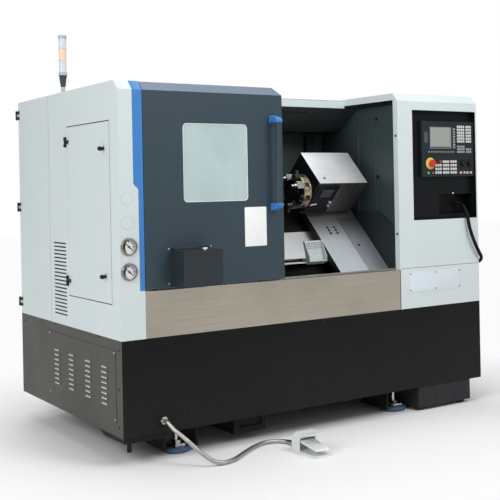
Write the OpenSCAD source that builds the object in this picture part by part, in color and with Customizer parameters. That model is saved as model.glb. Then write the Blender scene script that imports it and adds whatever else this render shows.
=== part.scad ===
// Slant-bed turning lathe in a sheet-metal enclosure, with a foot pedal for the chuck.
// Working coordinates: X from the left side face, Y from the front face going back, Z up from the floor.

/* [Enclosure] */
// Width of the enclosure
body_w = 2240; // [2150:10:2500]
// Depth of the enclosure
body_d = 1285; // [1240:5:1450]
// Height of the roof over the floor
body_h = 1730; // [1720:5:1800]
// Thickness of the panel sheet
sheet_t = 3; // [2:0.5:4]
// Height of the skirt's lower edge over the floor
skirt_z = 130; // [120:5:150]
// Height of the skirt's upper edge over the floor
skirt_top = 565; // [540:5:575]
// Depth of the chamfer along the top front edge
chamfer_d = 38; // [30:1:45]
// Height of the chamfer along the top front edge
chamfer_h = 43; // [35:1:50]
// Y of the roof's front edge behind the loading notch
roof_y = 450; // [440:5:500]
// Height of the white fascia under the roof's front edge
fascia_h = 40; // [25:1:60]

/* [Front] */
// Width of the left column with its coloured stripe
column_w = 122; // [115:1:135]
// Width of the coloured stripe at the top
stripe_w = 50; // [40:1:60]
// Width of the stripe's narrow lower part
stripe_low_w = 26; // [20:1:36]
// Height of the stripe's lower end over the floor
stripe_z = 781; // [770:1:850]
// Height of the stripe's step over the floor
stripe_step_z = 1239; // [1150:1:1300]
// Width of the right column that holds the control
right_w = 595; // [580:5:640]
// Depth of the folded flange at the right column's edge
flange_d = 37; // [25:1:45]
// Height of the apron under the door
apron_top = 778; // [770:1:790]
// Radius of the pressure gauge cases
gauge_r = 40; // [34:1:44]
// Height of the lower gauge
gauge_z = 871; // [850:1:1000]
// Distance between the two gauges
gauge_pitch = 112; // [100:1:130]

/* [Door] */
// Width of the sliding door
door_w = 765; // [740:1:790]
// Depth of the door's folded edges
door_d = 28; // [22:1:30]
// Gap round the door
door_gap = 2; // [1:0.5:4]
// Width of the window
window_w = 353; // [300:1:420]
// Height of the window
window_h = 366; // [300:1:420]
// Distance from the door's left edge to the window
window_x = 205; // [150:1:230]
// Height of the window's lower edge over the floor
window_z = 1174; // [1120:1:1220]
// Length of the handle between its brackets
handle_h = 393; // [300:1:440]
// Radius of the handle bar
handle_r = 14; // [10:1:18]
// Distance from the door to the middle of the handle bar
handle_out = 48; // [40:1:60]
// Width of the tool box on the door
tool_box_w = 202; // [160:1:260]
// Depth of the tool box on the door
tool_box_d = 125; // [90:1:150]
// Height of the tool box on the door
tool_box_h = 160; // [120:1:165]

/* [Left side] */
// Width of the side door
side_door_w = 498; // [440:1:520]
// Distance from the roof to the side door's upper edge
side_door_drop = 178; // [150:1:250]
// Distance from the front face to the side door
side_door_y = 90; // [80:1:110]
// Height of the side door's lower edge over the floor
side_door_z = 721; // [700:1:740]
// Number of vent slots beside the side door
vent_n = 20; // [10:1:22]
// Pitch of the vent slots
vent_pitch = 18.8; // [16:0.2:20]
// Y of the seam in front of the rear cabinet
seam_y = 834; // [815:1:846]
// Width of the rear electrical cabinet
cabinet_w = 1000; // [900:10:1100]
// Radius of the hinge pins
pin_r = 3; // [2.5:0.1:3.5]

/* [Control] */
// Width of the control unit
control_w = 400; // [380:1:410]
// Height of the display unit
display_h = 188; // [180:1:200]
// Height of the machine panel under the display
panel_h = 119; // [110:1:125]
// Depth of the control recess
recess_d = 30; // [24:1:40]
// Thickness of the control unit
control_t = 20; // [14:1:22]
// Radius of the emergency stop's mushroom
estop_r = 21; // [18:0.5:24]
// Radius of the override knobs
knob_r = 16; // [12:0.5:18]

/* [Spindle and turret] */
// Y of the spindle axis behind the front face
spindle_y = 285; // [280:1:295]
// Height of the spindle axis over the floor
spindle_z = 1082; // [1075:1:1090]
// Length of the work space from the bulkhead to the right wall
work_l = 861; // [840:1:900]
// Radius of the spindle in its bearings
spindle_r = 45; // [40:1:50]
// Radius of the spindle's through bore
bore_r = 26; // [20:0.5:30]
// Radius of the chuck
chuck_r = 105; // [95:1:110]
// Thickness of the chuck
chuck_t = 83; // [70:1:95]
// Pitch radius of the spindle pulley
pulley_r = 110; // [95:1:125]
// Pitch radius of the motor pulley
motor_pulley_r = 70; // [60:1:85]
// Radius of the turret disc
disc_r = 93; // [85:1:110]
// Thickness of the turret disc
disc_t = 55; // [45:1:60]
// Number of tool stations on the disc
stations = 8; // [6:2:12]
// Length of the turret housing along the spindle
turret_w = 335; // [300:1:345]
// Radius of the bed's Z screw
screw_r = 16; // [12:0.5:18]

/* [Feet and pedal] */
// Radius of the foot pads
pad_r = 70; // [55:1:75]
// Height of the foot pads
pad_h = 26; // [20:1:32]
// Radius of the levelling studs
stud_r = 12; // [10:0.5:14]
// Width of the foot pedal
pedal_w = 94; // [85:1:110]
// Length of the foot pedal
pedal_l = 185; // [165:1:200]
// Diameter of the pedal's flexible conduit
conduit_d = 20; // [16:0.5:22]
// Diameter of the control cable
cable_d = 20; // [14:0.5:22]

/* [Hidden] */
$fn = 64;

white = "#d3dcdb";
blue = "#4682c8";
slate = "#3e4854";
black = "#202321";
steel = "#b9b6b0";
iron = "#50585a";
dark = "#2d3434";

run_gap = 0.3;
fit_gap = 0.05;
bed_seat = 0.1;
latch_out = 30;
rear_handle_out = 34;
pedal_x = 770;
pedal_back = -198;
pedal_front = pedal_back - pedal_l;
origin_x = (body_w - latch_out) / 2;
origin_y = (pedal_front + body_d + rear_handle_out) / 2;

right_x = body_w - right_w;
chamfer_z = body_h - chamfer_h;
roof_z = body_h - 10;
door_x = column_w + door_gap;
door_z = apron_top + 6;
door_top = body_h - sheet_t;
door_lip_y = roof_y + 25;
wall_x = right_x + 95;
bulk_x = wall_x - work_l;
cover_y = 55;
back_y = 800;
ceiling_z = roof_z - fascia_h;
ceiling_drop = 123;
ceiling_run = 167;
lip_d = 60;

slant_k = spindle_z - spindle_y;
root2 = sqrt(2);
bed_n = -272;
slab_t = 58;
rail_h = 32;
rail_s = 300;
rail_w = 40;
cover_n = -236;
cover_s = 90;
saddle_n = -230;
plate_n = -155;
plate_t = 6;
bed_x = 250;
bed_half = 420;
base_y = 165;
base_z = 140;
pedestal_x1 = 640;
motor_y = 640;
motor_z = 700;
motor_half = 110;
belt_x = 120;
belt_w = 60;
belt_t = 8;
belt_seat = 0.6;

saddle_x = wall_x - 300;
saddle_w = 260;
plate_x0 = wall_x - 349;
plate_x1 = wall_x - 12;
turret_x = wall_x - 400;
turret_s = 180;
box_s0 = 129;
box_s1 = 370;
box_n0 = -118;
box_n1 = 110;
neck_l = 35;
hub_r = 50;
screw_s = 375;
screw_n = -250;

foot_left_x = 334;
foot_right_x = right_x + 45;
foot_front_y = 134;
foot_back_y = 760;

rec_x0 = right_x + 105;
rec_x1 = body_w - 10;
rec_z1 = body_h - 90;
rec_z0 = rec_z1 - 600;
right_seam_z = (skirt_top + rec_z0) / 2 - 21.5;
control_x = rec_x1 - control_w - 4;
control_z = rec_z1 - 364;
control_y = recess_d - control_t;
pocket_x0 = control_x + 138;
pocket_x1 = rec_x1 - 6;
pocket_z0 = rec_z0 + 27;
pocket_z1 = pocket_z0 + 110;
pocket_d = 60;

tower_x = 60;
tower_y = 770;
handle_x = door_x + door_w - 60;
handle_z = chamfer_z - handle_h - 136;
hinge_leaf = 22;
hinge_h = 48;
hinge_r = 6;
hinge_out = 6.5;
side_hinge_y = side_door_y + side_door_w + 8;
side_door_h = body_h - side_door_drop - side_door_z;

conduit_route = [
    [198, -20, 189], [198, -32, 189], [200, -46, 184], [205, -62, 172], [214, -80, 157], [230, -105, 139],
    [260, -140, 104], [292, -170, 66], [328, -192, 34], [357, -203, 17], [385, -207, 11], [412, -206, 10],
    [462, -189, 10], [518, -151, 10], [576, -112, 10], [628, -80, 10], [673, -58, 10], [710, -45, 10],
    [740, -42, 10], [771, -48, 10], [797, -65, 10], [814, -91, 11], [819, -122, 14], [818, -150, 20],
    [817, -174, 25], [817, -190, 25]
];
cable_route = [
    [2143, 50, 1118], [2143, 38, 1118], [2143, 23, 1112], [2142, 8, 1096], [2141, -10, 1066],
    [2141, -20, 1030],
    [2147, -25, 984], [2166, -27, 932], [2192, -26, 884], [2217, -23, 848], [2242, -16, 818],
    [2258, 4, 797],
    [2262, 34, 783], [2262, 62, 776], [2262, 84, 775], [2262, 100, 775]
];

// Shared shapes
module machine() translate([-origin_x, -origin_y, 0]) children();

module block(low, high) translate(low) cube(high - low);

module along_x(x0, x1) translate([x0, 0, 0]) rotate([90, 0, 90]) linear_extrude(x1 - x0) children();

module along_y(y0, y1) translate([0, y1, 0]) rotate([90, 0, 0]) linear_extrude(y1 - y0) children();

module rod_x(x0, x1, r, r2 = 0) translate([x0, 0, 0]) rotate([0, 90, 0])
    cylinder(h = x1 - x0, r1 = r, r2 = r2 > 0 ? r2 : r);

module rod_y(y0, y1, r) translate([0, y0, 0]) rotate([-90, 0, 0]) cylinder(h = y1 - y0, r = r);

module rod_z(z0, z1, r) translate([0, 0, z0]) cylinder(h = z1 - z0, r = r);

// Frame of the slanted bed: X along the spindle, Y up the slope, Z out of the slope
module slant() translate([0, spindle_y, spindle_z]) rotate([45, 0, 0]) children();

module rounded(w, h, r) {
    translate([r, 0]) square([w - 2 * r, h]);
    translate([0, r]) square([w, h - 2 * r]);
    for (x = [r, w - r], y = [r, h - r]) translate([x, y]) circle(r);
}

// Outline of a side wall with the chamfer at the top front edge
module side_outline(y1) polygon([
    [0, skirt_top], [y1, skirt_top], [y1, body_h], [chamfer_d, body_h], [0, chamfer_z]
]);

// Section of a front sheet that follows the chamfer
module front_section(z0) polygon([
    [0, z0], [0, chamfer_z], [chamfer_d, body_h], [chamfer_d, body_h - 1.5 * sheet_t],
    [sheet_t, chamfer_z - sheet_t / 2], [sheet_t, z0]
]);

// Base
module leg_plate(x, y) block([x, y - 54, 20], [x + 12, y + 166, base_z - 12]);

module leg_top(x, y, reach) difference() {
    block([x - 90, y - 54, base_z - 12], [x + reach, y + 166, base_z]);
    translate([x, y]) rod_z(base_z - 20, base_z + 5, stud_r + 1);
}

module base_casting() color(black) machine() {
    top_k = slant_k + root2 * (bed_n - slab_t - bed_seat);
    back = spindle_y + (bed_half - bed_n + slab_t) / root2;
    wall = 30;
    difference() {
        along_x(pedestal_x1, wall_x - bed_seat) polygon([
            [base_y, base_z], [base_y, base_y + top_k], [back, back + top_k], [back, base_z]
        ]);
        along_x(pedestal_x1 + wall, wall_x - wall) polygon([
            [base_y + wall, base_z - 1], [base_y + wall, base_y + top_k - wall / 2],
            [back - wall, back + top_k - 2.5 * wall], [back - wall, base_z - 1]
        ]);
    }
    pedestal_back = motor_y - motor_half - 30;
    along_x(bed_x, pedestal_x1) polygon([
        [base_y, base_z], [base_y, base_y + top_k], [pedestal_back, pedestal_back + top_k],
        [pedestal_back, base_z]
    ]);
    motor_shelf = motor_z - motor_half;
    block([bed_x, pedestal_back, motor_shelf - 20], [pedestal_x1, motor_y + motor_half + 30, motor_shelf]);
    block([bed_x, pedestal_back, base_z], [pedestal_x1, foot_back_y + 100, base_z + 60]);
    for (y = [foot_front_y, foot_back_y]) {
        leg_top(foot_left_x, y, 90);
        leg_plate(foot_left_x - 90, y);
        leg_plate(foot_left_x + 78, y);
        leg_plate(foot_right_x - 90, y);
        leg_top(foot_right_x, y, 66);
    }
    middle_x = foot_left_x + 288;
    difference() {
        block([middle_x, 75, 40], [middle_x + 184, 400, base_z]);
        block([middle_x + 30, 74, 70], [middle_x + 160, 83, 118]);
    }
}

module hex_nut(z, r, h) translate([0, 0, z]) cylinder(h = h, r = r, $fn = 6);

module foot() {
    pad_edge = 5;
    rotate_extrude() polygon([
        [0, 0], [pad_r - pad_edge, 0], [pad_r, pad_edge], [pad_r, pad_h - pad_edge],
        [pad_r - pad_edge, pad_h],
        [0, pad_h]
    ]);
    rod_z(pad_h, base_z - 1, stud_r);
    hex_nut(pad_h, 52, 13);
    hex_nut(pad_h + 13, stud_r * 2.1, 12);
    hex_nut(base_z - 12 - 18, stud_r * 1.9, 18);
}

module levelling_feet() color("#28556f") machine() {
    for (x = [foot_left_x, foot_right_x], y = [foot_front_y, foot_back_y]) translate([x, y, 0]) foot();
}

// Enclosure
entry_r = 16;
entry_x = cabinet_w + 60;
entry_z = skirt_z + 170;
module skirt_panels() color(black) machine() {
    fold = 25;
    block([0, 0, skirt_z], [body_w, sheet_t, skirt_top]);
    block([fold, sheet_t, skirt_z], [body_w - fold, fold, skirt_z + sheet_t]);
    difference() {
        block([0, body_d - sheet_t, skirt_z], [body_w, body_d, skirt_top]);
        translate([entry_x, 0, entry_z]) rod_y(body_d - sheet_t - 1, body_d + 1, entry_r);
    }
    block([fold, body_d - fold, skirt_z], [body_w - fold, body_d - sheet_t, skirt_z + sheet_t]);
    for (x = [0, body_w - sheet_t]) block([x, sheet_t, skirt_z],
        [x + sheet_t, body_d - sheet_t, skirt_top]);
}

module louvre(w, h, out, t) difference() {
    along_y(0, w) polygon([[0, h], [-out, 0], [0, 0]]);
    along_y(t, w - t) polygon([[1, h - t], [0, h - t], [t - out, -1], [1, -1]]);
}

module louvre_panel() color("#454441") machine() {
    panel_t = 2;
    y0 = 66;
    y1 = 876;
    z0 = skirt_z + 61;
    z1 = skirt_top - 49;
    louvre_w = 58;
    louvre_h = 11;
    columns = [183, 369, 572, 759];
    rows = 8;
    pitch = 24;
    translate([-panel_t, 0, 0]) for (y = columns, i = [0:rows - 1])
        translate([0, y - louvre_w / 2, z0 + 66 + i * pitch]) louvre(louvre_w, louvre_h, 6, 1.2);
    difference() {
        block([-panel_t, y0, z0], [0, y1, z1]);
        for (y = columns, i = [0:rows - 1])
            translate([-panel_t - 1, y - louvre_w / 2 + 2, z0 + 66 + i * pitch])
                cube([panel_t + 2, louvre_w - 4, 6]);
    }
}

module side_panel_left() color(white) machine() difference() {
    along_x(0, sheet_t) side_outline(seam_y);
    block([-1, side_door_y, side_door_z],
        [sheet_t + 1, side_door_y + side_door_w, side_door_z + side_door_h]);
    slot_y = side_door_y + side_door_w + 36;
    for (i = [0:vent_n - 1]) block(
        [-1, slot_y, skirt_top + 49 + i * vent_pitch],
        [sheet_t + 1, seam_y - 48, skirt_top + 56 + i * vent_pitch]);
}

module wall_sheets() {
    seam = 1;
    block([0, seam_y + seam, skirt_top], [sheet_t, body_d - sheet_t, body_h]);
    along_x(body_w - sheet_t, body_w) side_outline(body_d);
    along_y(body_d - sheet_t, body_d) polygon([
        [cabinet_w + sheet_t, skirt_top], [body_w - sheet_t, skirt_top],
        [body_w - sheet_t, body_h - sheet_t], [right_x, body_h - sheet_t],
        [right_x, roof_z - sheet_t], [cabinet_w + sheet_t, roof_z - sheet_t]
    ]);
}

module roof_sheets() {
    block([sheet_t, chamfer_d, body_h - sheet_t], [column_w, body_d, body_h]);
    block([column_w - sheet_t, roof_y, roof_z - 2 * sheet_t],
        [column_w, body_d - sheet_t, body_h - sheet_t]);
    along_x(column_w, right_x) polygon([
        [roof_y, ceiling_z], [roof_y + sheet_t, ceiling_z], [roof_y + sheet_t, roof_z - sheet_t],
        [body_d, roof_z - sheet_t], [body_d, roof_z], [roof_y, roof_z]
    ]);
    block([right_x, chamfer_d, body_h - sheet_t], [body_w - sheet_t, body_d, body_h]);
    block([right_x, chamfer_d, body_h - flange_d], [right_x + sheet_t, body_d - sheet_t, body_h - sheet_t]);
}

cabinet_y = seam_y + 16;
module cabinet_sheets() {
    top = roof_z - sheet_t;
    block([sheet_t, cabinet_y, skirt_top], [cabinet_w, cabinet_y + sheet_t, top]);
    block([cabinet_w, cabinet_y, skirt_top], [cabinet_w + sheet_t, body_d, top]);
    block([sheet_t, cabinet_y + sheet_t, skirt_top],
        [cabinet_w, body_d - sheet_t - 12, skirt_top + sheet_t]);
}

module outer_panels() color(white) machine() {
    wall_sheets();
    roof_sheets();
    cabinet_sheets();
}

module stripe_outline() polygon([
    [column_w - stripe_low_w, stripe_z], [column_w, stripe_z], [column_w, body_h],
    [column_w - stripe_w, body_h],
    [column_w - stripe_w, stripe_step_z + stripe_w - stripe_low_w], [column_w - stripe_low_w, stripe_step_z]
]);

module gauge_places(first, last) for (i = [first:last])
    translate([column_w - stripe_w - 27, 0, gauge_z + i * gauge_pitch]) children();

module column_left() color(white) machine() difference() {
    along_x(sheet_t, column_w) front_section(skirt_top);
    along_y(-1, chamfer_d + 1) stripe_outline();
    gauge_places(0, 1) rod_y(-1, sheet_t + 1, gauge_r - 4);
    gauge_places(2, 3) difference() {
        rod_y(-1, 0.8, gauge_r);
        rod_y(-2, 1, gauge_r - 1.5);
    }
}

module stripe_trim() color(blue) machine() intersection() {
    along_x(sheet_t, column_w) front_section(skirt_top);
    along_y(-1, chamfer_d + 1) stripe_outline();
}

module headstock_cover() color(slate) machine() along_x(column_w, bulk_x) polygon([
    [cover_y, apron_top], [cover_y + sheet_t, apron_top], [cover_y + sheet_t, ceiling_z + 4],
    [roof_y, ceiling_z + 4], [roof_y, ceiling_z + 4 + sheet_t], [cover_y, ceiling_z + 4 + sheet_t]
]);

module apron() color(steel) machine() along_x(column_w, right_x) polygon([
    [0, skirt_top], [sheet_t, skirt_top], [sheet_t, apron_top - sheet_t],
    [lip_d - sheet_t, apron_top - sheet_t],
    [lip_d - sheet_t, apron_top - 18], [lip_d, apron_top - 18], [lip_d, apron_top], [0, apron_top]
]);

module column_right() color(white) machine() {
    seam = 2;
    difference() {
        union() {
            along_x(right_x + sheet_t, body_w - sheet_t) front_section(right_seam_z + seam);
            block([right_x + sheet_t, 0, skirt_top], [body_w - sheet_t, sheet_t, right_seam_z]);
        }
        block([rec_x0, -1, rec_z0], [rec_x1, sheet_t + 1, rec_z1]);
    }
    along_x(right_x, right_x + sheet_t) polygon([
        [0, skirt_top], [0, chamfer_z], [chamfer_d, body_h], [chamfer_d, body_h - flange_d],
        [flange_d, chamfer_z - 15], [flange_d, skirt_top]
    ]);
}

// Control
module control_recess() color("#17191b") machine() {
    wall = 3;
    difference() {
        block([rec_x0, 0, rec_z0], [rec_x1, recess_d + wall, rec_z1]);
        block([rec_x0 + wall, -1, rec_z0 + wall], [rec_x1 - wall, recess_d, rec_z1 - wall]);
        block([pocket_x0, 0, pocket_z0], [pocket_x1, recess_d + wall + 1, pocket_z1]);
    }
    difference() {
        block([pocket_x0 - wall, recess_d + wall, pocket_z0 - wall],
            [pocket_x1 + wall, recess_d + pocket_d, pocket_z1 + wall]);
        block([pocket_x0, recess_d, pocket_z0], [pocket_x1, recess_d + pocket_d - wall, pocket_z1]);
    }
}

// A grid of low keys on the face of a panel
module keys(x, z, columns, rows, pitch_x, pitch_z, w, h) for (i = [0:columns - 1], j = [0:rows - 1])
    block([x + i * pitch_x, control_y - 1.5, z - j * pitch_z - h],
        [x + i * pitch_x + w, control_y, z - j * pitch_z]);

module display_unit() color("#3a3d46") machine() {
    z0 = control_z + panel_h;
    z1 = z0 + display_h;
    screen_x = control_x + 60;
    screen_w = 169;
    difference() {
        block([control_x, control_y, z0], [control_x + control_w, recess_d, z1]);
        block([screen_x, control_y - 1, z1 - 155], [screen_x + screen_w, control_y + 1.2, z1 - 28]);
    }
    keys(control_x + 50, z1 - 166, 10, 1, 20.5, 12, 9, 8);
    keys(control_x + 238, z1 - 38, 1, 8, 20, 14.5, 16, 9);
    keys(control_x + 270, z1 - 22, 4, 6, 15, 16.5, 11.5, 12.5);
    keys(control_x + 338, z1 - 22, 3, 6, 15, 16.5, 11.5, 12.5);
    keys(control_x + 270, z1 - 134, 4, 3, 15, 15, 11.5, 11);
    keys(control_x + 338, z1 - 149, 3, 2, 15, 15, 11.5, 11);
    block([control_x + 20, control_y - 1, z1 - 120], [control_x + 46, control_y, z1 - 60]);
}

estop_x = control_x + 62;
estop_z = control_z + panel_h - 46;
knob_z = control_z + panel_h - 46;
knob_xs = [control_x + 308, control_x + 362];

module machine_panel() color("#3a3d46") machine() {
    z1 = control_z + panel_h;
    difference() {
        union() {
            block([control_x, control_y, control_z], [control_x + control_w, recess_d, z1 - 1]);
            translate([estop_x, 0, estop_z]) rod_y(control_y - 3, control_y + 1, estop_r + 11);
            for (x = knob_xs) translate([x, 0, knob_z]) rod_y(control_y - 2, control_y + 1, knob_r + 5);
        }
        translate([estop_x, 0, estop_z]) rod_y(control_y - 4, control_y + 12, estop_r - 10 + fit_gap);
        for (x = knob_xs) translate([x, 0, knob_z]) rod_y(control_y - 3, control_y + 10, 5 + fit_gap);
    }
    keys(control_x + 40, z1 - 92, 1, 1, 20, 16, 14, 12);
    keys(control_x + 74, z1 - 92, 1, 1, 20, 16, 14, 12);
    keys(control_x + 133, z1 - 30, 1, 1, 17, 20, 13, 13);
    keys(control_x + 99, z1 - 50, 3, 3, 17, 20, 13, 13);
    keys(control_x + 157, z1 - 30, 3, 4, 17, 20, 13, 13);
    keys(control_x + 215, z1 - 30, 3, 4, 17, 20, 13, 13);
    keys(control_x + 288, z1 - 92, 3, 1, 15, 16, 11, 12);
    keys(control_x + 340, z1 - 92, 3, 1, 15, 16, 11, 12);
}

module estop_button() color("#c8332b") machine() translate([estop_x, control_y, estop_z])
    rotate([90, 0, 0]) {
    stem_r = estop_r - 10;
    cap_z = 12;
    rotate_extrude() polygon([
        [0, -4], [stem_r, -4], [stem_r, cap_z], [estop_r - 4, cap_z], [estop_r, cap_z + 4],
        [estop_r - 1, cap_z + 11],
        [estop_r - 5, cap_z + 16], [estop_r - 12, cap_z + 18], [0, cap_z + 18.5]
    ]);
}

module override_knob(x) color("#1c1d1f") machine() translate([x, control_y, knob_z]) rotate([90, 0, 0]) {
    skirt = 2 + run_gap;
    difference() {
        union() {
            translate([0, 0, -7]) cylinder(h = 9 + skirt, r = 5);
            translate([0, 0, skirt]) cylinder(h = 14, r = knob_r);
            translate([0, 0, skirt + 14]) cylinder(h = 3, r1 = knob_r, r2 = knob_r - 3);
        }
        for (a = [0:30:330]) rotate([0, 0, a]) translate([knob_r + 1.2, 0, skirt - 1])
            cylinder(h = 20, r = 2.6, $fn = 16);
    }
    translate([-2, 2, skirt + 17]) cube([4, knob_r - 6, 2]);
}

module override_knob_left() override_knob(knob_xs[0]);

module override_knob_right() override_knob(knob_xs[1]);

// Gauges and tower
gauge_face = 2;
module gauge_cases() color("#2a2b2c") machine() gauge_places(0, 1) {
    difference() {
        union() {
            translate([0, -9, 0]) rotate([-90, 0, 0]) cylinder(h = 9, r1 = gauge_r - 3, r2 = gauge_r);
            rod_y(0, 38, gauge_r - 5);
        }
        rod_y(-10, gauge_face, gauge_r - 8);
    }
    rod_y(38, 58, 8);
    rod_y(gauge_face - 5, gauge_face, 1.5);
}

module gauge_needle(i) color("#c03028") machine() gauge_places(i, i) rotate([0, -45, 0]) difference() {
    union() {
        rod_y(gauge_face - 4, gauge_face - 2, 4.5);
        along_y(gauge_face - 3.5, gauge_face - 2.5) polygon([
            [-2, 0], [-0.6, gauge_r - 15], [0.6, gauge_r - 15], [2, 0], [3, -gauge_r / 2 + 6],
            [-3, -gauge_r / 2 + 6]
        ]);
    }
    rod_y(gauge_face - 6, gauge_face + 1, 1.5 + fit_gap);
}

module gauge_needle_upper() gauge_needle(1);

module gauge_needle_lower() gauge_needle(0);

module signal_tower() color("#c9cdd2") machine() translate([tower_x, tower_y, body_h]) {
    lens_r = 20;
    rotate_extrude() polygon([
        [0, 0], [24, 0], [24, 5], [11, 8], [11, 40], [13, 46], [20, 96], [lens_r + 2, 100],
        [lens_r + 2, 116],
        [lens_r, 117], [lens_r, 174], [lens_r + 1, 175], [lens_r + 1, 177], [lens_r, 178], [lens_r, 235],
        [lens_r + 1, 236], [lens_r + 1, 238], [lens_r, 239], [lens_r, 288], [lens_r + 2, 289],
        [lens_r + 2, 303],
        [lens_r - 2, 307], [0, 307]
    ]);
}

// Sliding door
door_x1 = door_x + door_w;
hip_w = 35;
module door_outline(inset) polygon([
    [door_x + inset, door_z + inset], [door_x1 - inset, door_z + inset],
    [door_x1 - inset, chamfer_z - inset / 2],
    [door_x1 - hip_w - inset, door_top - inset], [door_x + inset, door_top - inset]
]);

module door_section(t) {
    chamfer_run = chamfer_d * (door_top - chamfer_z) / chamfer_h;
    polygon([
        [t, door_z], [t, chamfer_z - t / 2], [chamfer_run, door_top - 1.4 * t],
        [door_lip_y, door_top - 1.4 * t],
        [door_lip_y, door_top - sheet_t], [chamfer_run + 2, door_top - sheet_t],
        [door_d, chamfer_z - 12], [door_d, door_z]
    ]);
}

module window_outline(grow) translate([door_x + window_x - grow, window_z - grow])
    rounded(window_w + 2 * grow, window_h + 2 * grow, 20 + grow / 2);

module door_panel() color(slate) machine() {
    skin = 2;
    difference() {
        intersection() {
            along_x(door_x, door_x1) door_section(0);
            along_y(-1, door_lip_y + 1) door_outline(0);
        }
        intersection() {
            along_x(door_x + skin, door_x1 - skin) door_section(skin);
            along_y(-1, door_d + 1) door_outline(skin);
        }
        along_y(-1, skin + 1) window_outline(0);
    }
    shoe_len = 80;
    for (x = [door_x + 60, door_x1 - 60 - shoe_len]) difference() {
        block([x, skin, apron_top + 2], [x + shoe_len, door_d + 22, door_z + 40]);
        block([x - 1, door_rail_y - run_gap, apron_top],
            [x + shoe_len + 1, door_rail_y + door_rail_w + run_gap, apron_top + door_rail_h + run_gap]);
    }
}

door_rail_y = 34;
door_rail_w = 10;
door_rail_h = 8;
module door_rails() color(steel) machine() {
    block([column_w, door_rail_y, apron_top],
        [right_x, door_rail_y + door_rail_w, apron_top + door_rail_h]);
    block([column_w, roof_y + 8, roof_z], [right_x, roof_y + 20, door_top - sheet_t - run_gap]);
}

module door_window() color("#c9d6d6") machine() difference() {
    along_y(2, 8) window_outline(14);
    along_y(1, 3) difference() {
        window_outline(13);
        window_outline(12);
    }
}

module handle_bracket(z, up) translate([handle_x, 0, z]) {
    arm = 17;
    along_x(-arm, arm) polygon([
        [0, 0], [0, up * 34], [-6, up * 36], [-handle_out - 4, up * 24],
        [-handle_out - handle_r - 3, up * 12],
        [-handle_out - handle_r - 3, 0], [-handle_out + handle_r, 0],
        [-handle_out + handle_r, up * 6], [-18, up * 10]
    ]);
}

module door_handle() color(blue) machine() {
    handle_bracket(handle_z, -1);
    handle_bracket(handle_z + handle_h, 1);
    translate([handle_x, -handle_out, 0]) rod_z(handle_z, handle_z + handle_h, handle_r);
}

box_x = door_x + 129;
box_x1 = box_x + tool_box_w;
box_z = door_z + 10;
box_z1 = box_z + tool_box_h;
lid_y = -9;
lid_z = box_z1 + 9;
lug_w = 8;
module tool_box() color("#2b3236") machine() {
    t = 2;
    flange = 13;
    difference() {
        block([box_x, -tool_box_d, box_z], [box_x1, -t, box_z1]);
        block([box_x + t, t - tool_box_d, box_z + t], [box_x1 - t, -t - 1, box_z1 + 1]);
        block([box_x + t, -t - 2, box_z + t], [box_x1 - t, -t + 1, box_z1 + 1]);
    }
    block([box_x - flange, -t, box_z - 2], [box_x1 + flange, 0, box_z1 + 20]);
    for (x = [box_x + 6, box_x1 - 6 - lug_w]) along_x(x, x + lug_w) polygon([
        [-t, lid_z - 7], [lid_y - 4, lid_z - 4], [lid_y - 4, lid_z + 4], [-t, lid_z + 7]
    ]);
    translate([0, lid_y, lid_z]) rod_x(box_x + 6, box_x1 - 6, 2);
}

module tool_box_lid() color("#2b3236") machine() {
    over = 3;
    t = 2;
    tube_x0 = box_x + 6 + lug_w + run_gap;
    tube_x1 = box_x1 - 6 - lug_w - run_gap;
    difference() {
        union() {
            block([box_x - over, -tool_box_d - over, box_z1 + run_gap],
                [box_x1 + over, lid_y - 5, box_z1 + run_gap + t]);
            block([box_x - over, -tool_box_d - over, box_z1 - 12],
                [box_x1 + over, -tool_box_d - over + t, box_z1 + run_gap + t]);
            block([tube_x0, lid_y - 10, box_z1 + run_gap], [tube_x1, lid_y, lid_z - 2]);
            translate([0, lid_y, lid_z]) rod_x(tube_x0, tube_x1, 5);
        }
        translate([0, lid_y, lid_z]) rod_x(tube_x0 - 1, tube_x1 + 1, 2 + fit_gap);
    }
    translate([(box_x + box_x1) / 2 + 20, -tool_box_d + 18, box_z1 + run_gap + t]) {
        rod_z(0, 8, 4);
        translate([0, 0, 8]) rotate([0, 90, 0]) translate([0, 0, -11]) cylinder(h = 22, r = 4);
    }
}

// Side and rear doors with their hinges
module hinge_pin(h) rod_z(-2, h + 2, pin_r);

module hinge_bore(h) rod_z(-3, h + 3, pin_r + fit_gap);

// Knuckles of one hinge between two heights, with the bore cut out
module knuckles(spans, h) difference() {
    for (s = spans) rod_z(s[0], s[1], hinge_r);
    hinge_bore(h);
}

fixed_spans = [[0, 15.7], [32.3, hinge_h]];
moving_spans = [[16, 32]];
side_hinge_zs = [side_door_z + 48, side_door_z + side_door_h - 98];
cabinet_hinge_zs = [skirt_top + 40, (skirt_top + body_h) / 2 - 20, body_h - 95];
cabinet_axis = [-hinge_out, body_d + hinge_out];

module door_hinges() color("#1d1e1f") machine() {
    for (z = side_hinge_zs) translate([-hinge_out, side_hinge_y, z]) {
        hinge_pin(hinge_h);
        knuckles(fixed_spans, hinge_h);
        for (s = fixed_spans) difference() {
            block([0, 0, s[0]], [hinge_out, hinge_leaf, s[1]]);
            hinge_bore(hinge_h);
        }
    }
    for (z = cabinet_hinge_zs) translate([cabinet_axis[0], cabinet_axis[1], z]) {
        hinge_pin(hinge_h);
        knuckles(fixed_spans, hinge_h);
        for (s = fixed_spans) difference() {
            block([0, -hinge_leaf - hinge_out, s[0]], [hinge_out, 0, s[1]]);
            hinge_bore(hinge_h);
        }
    }
}

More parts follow.
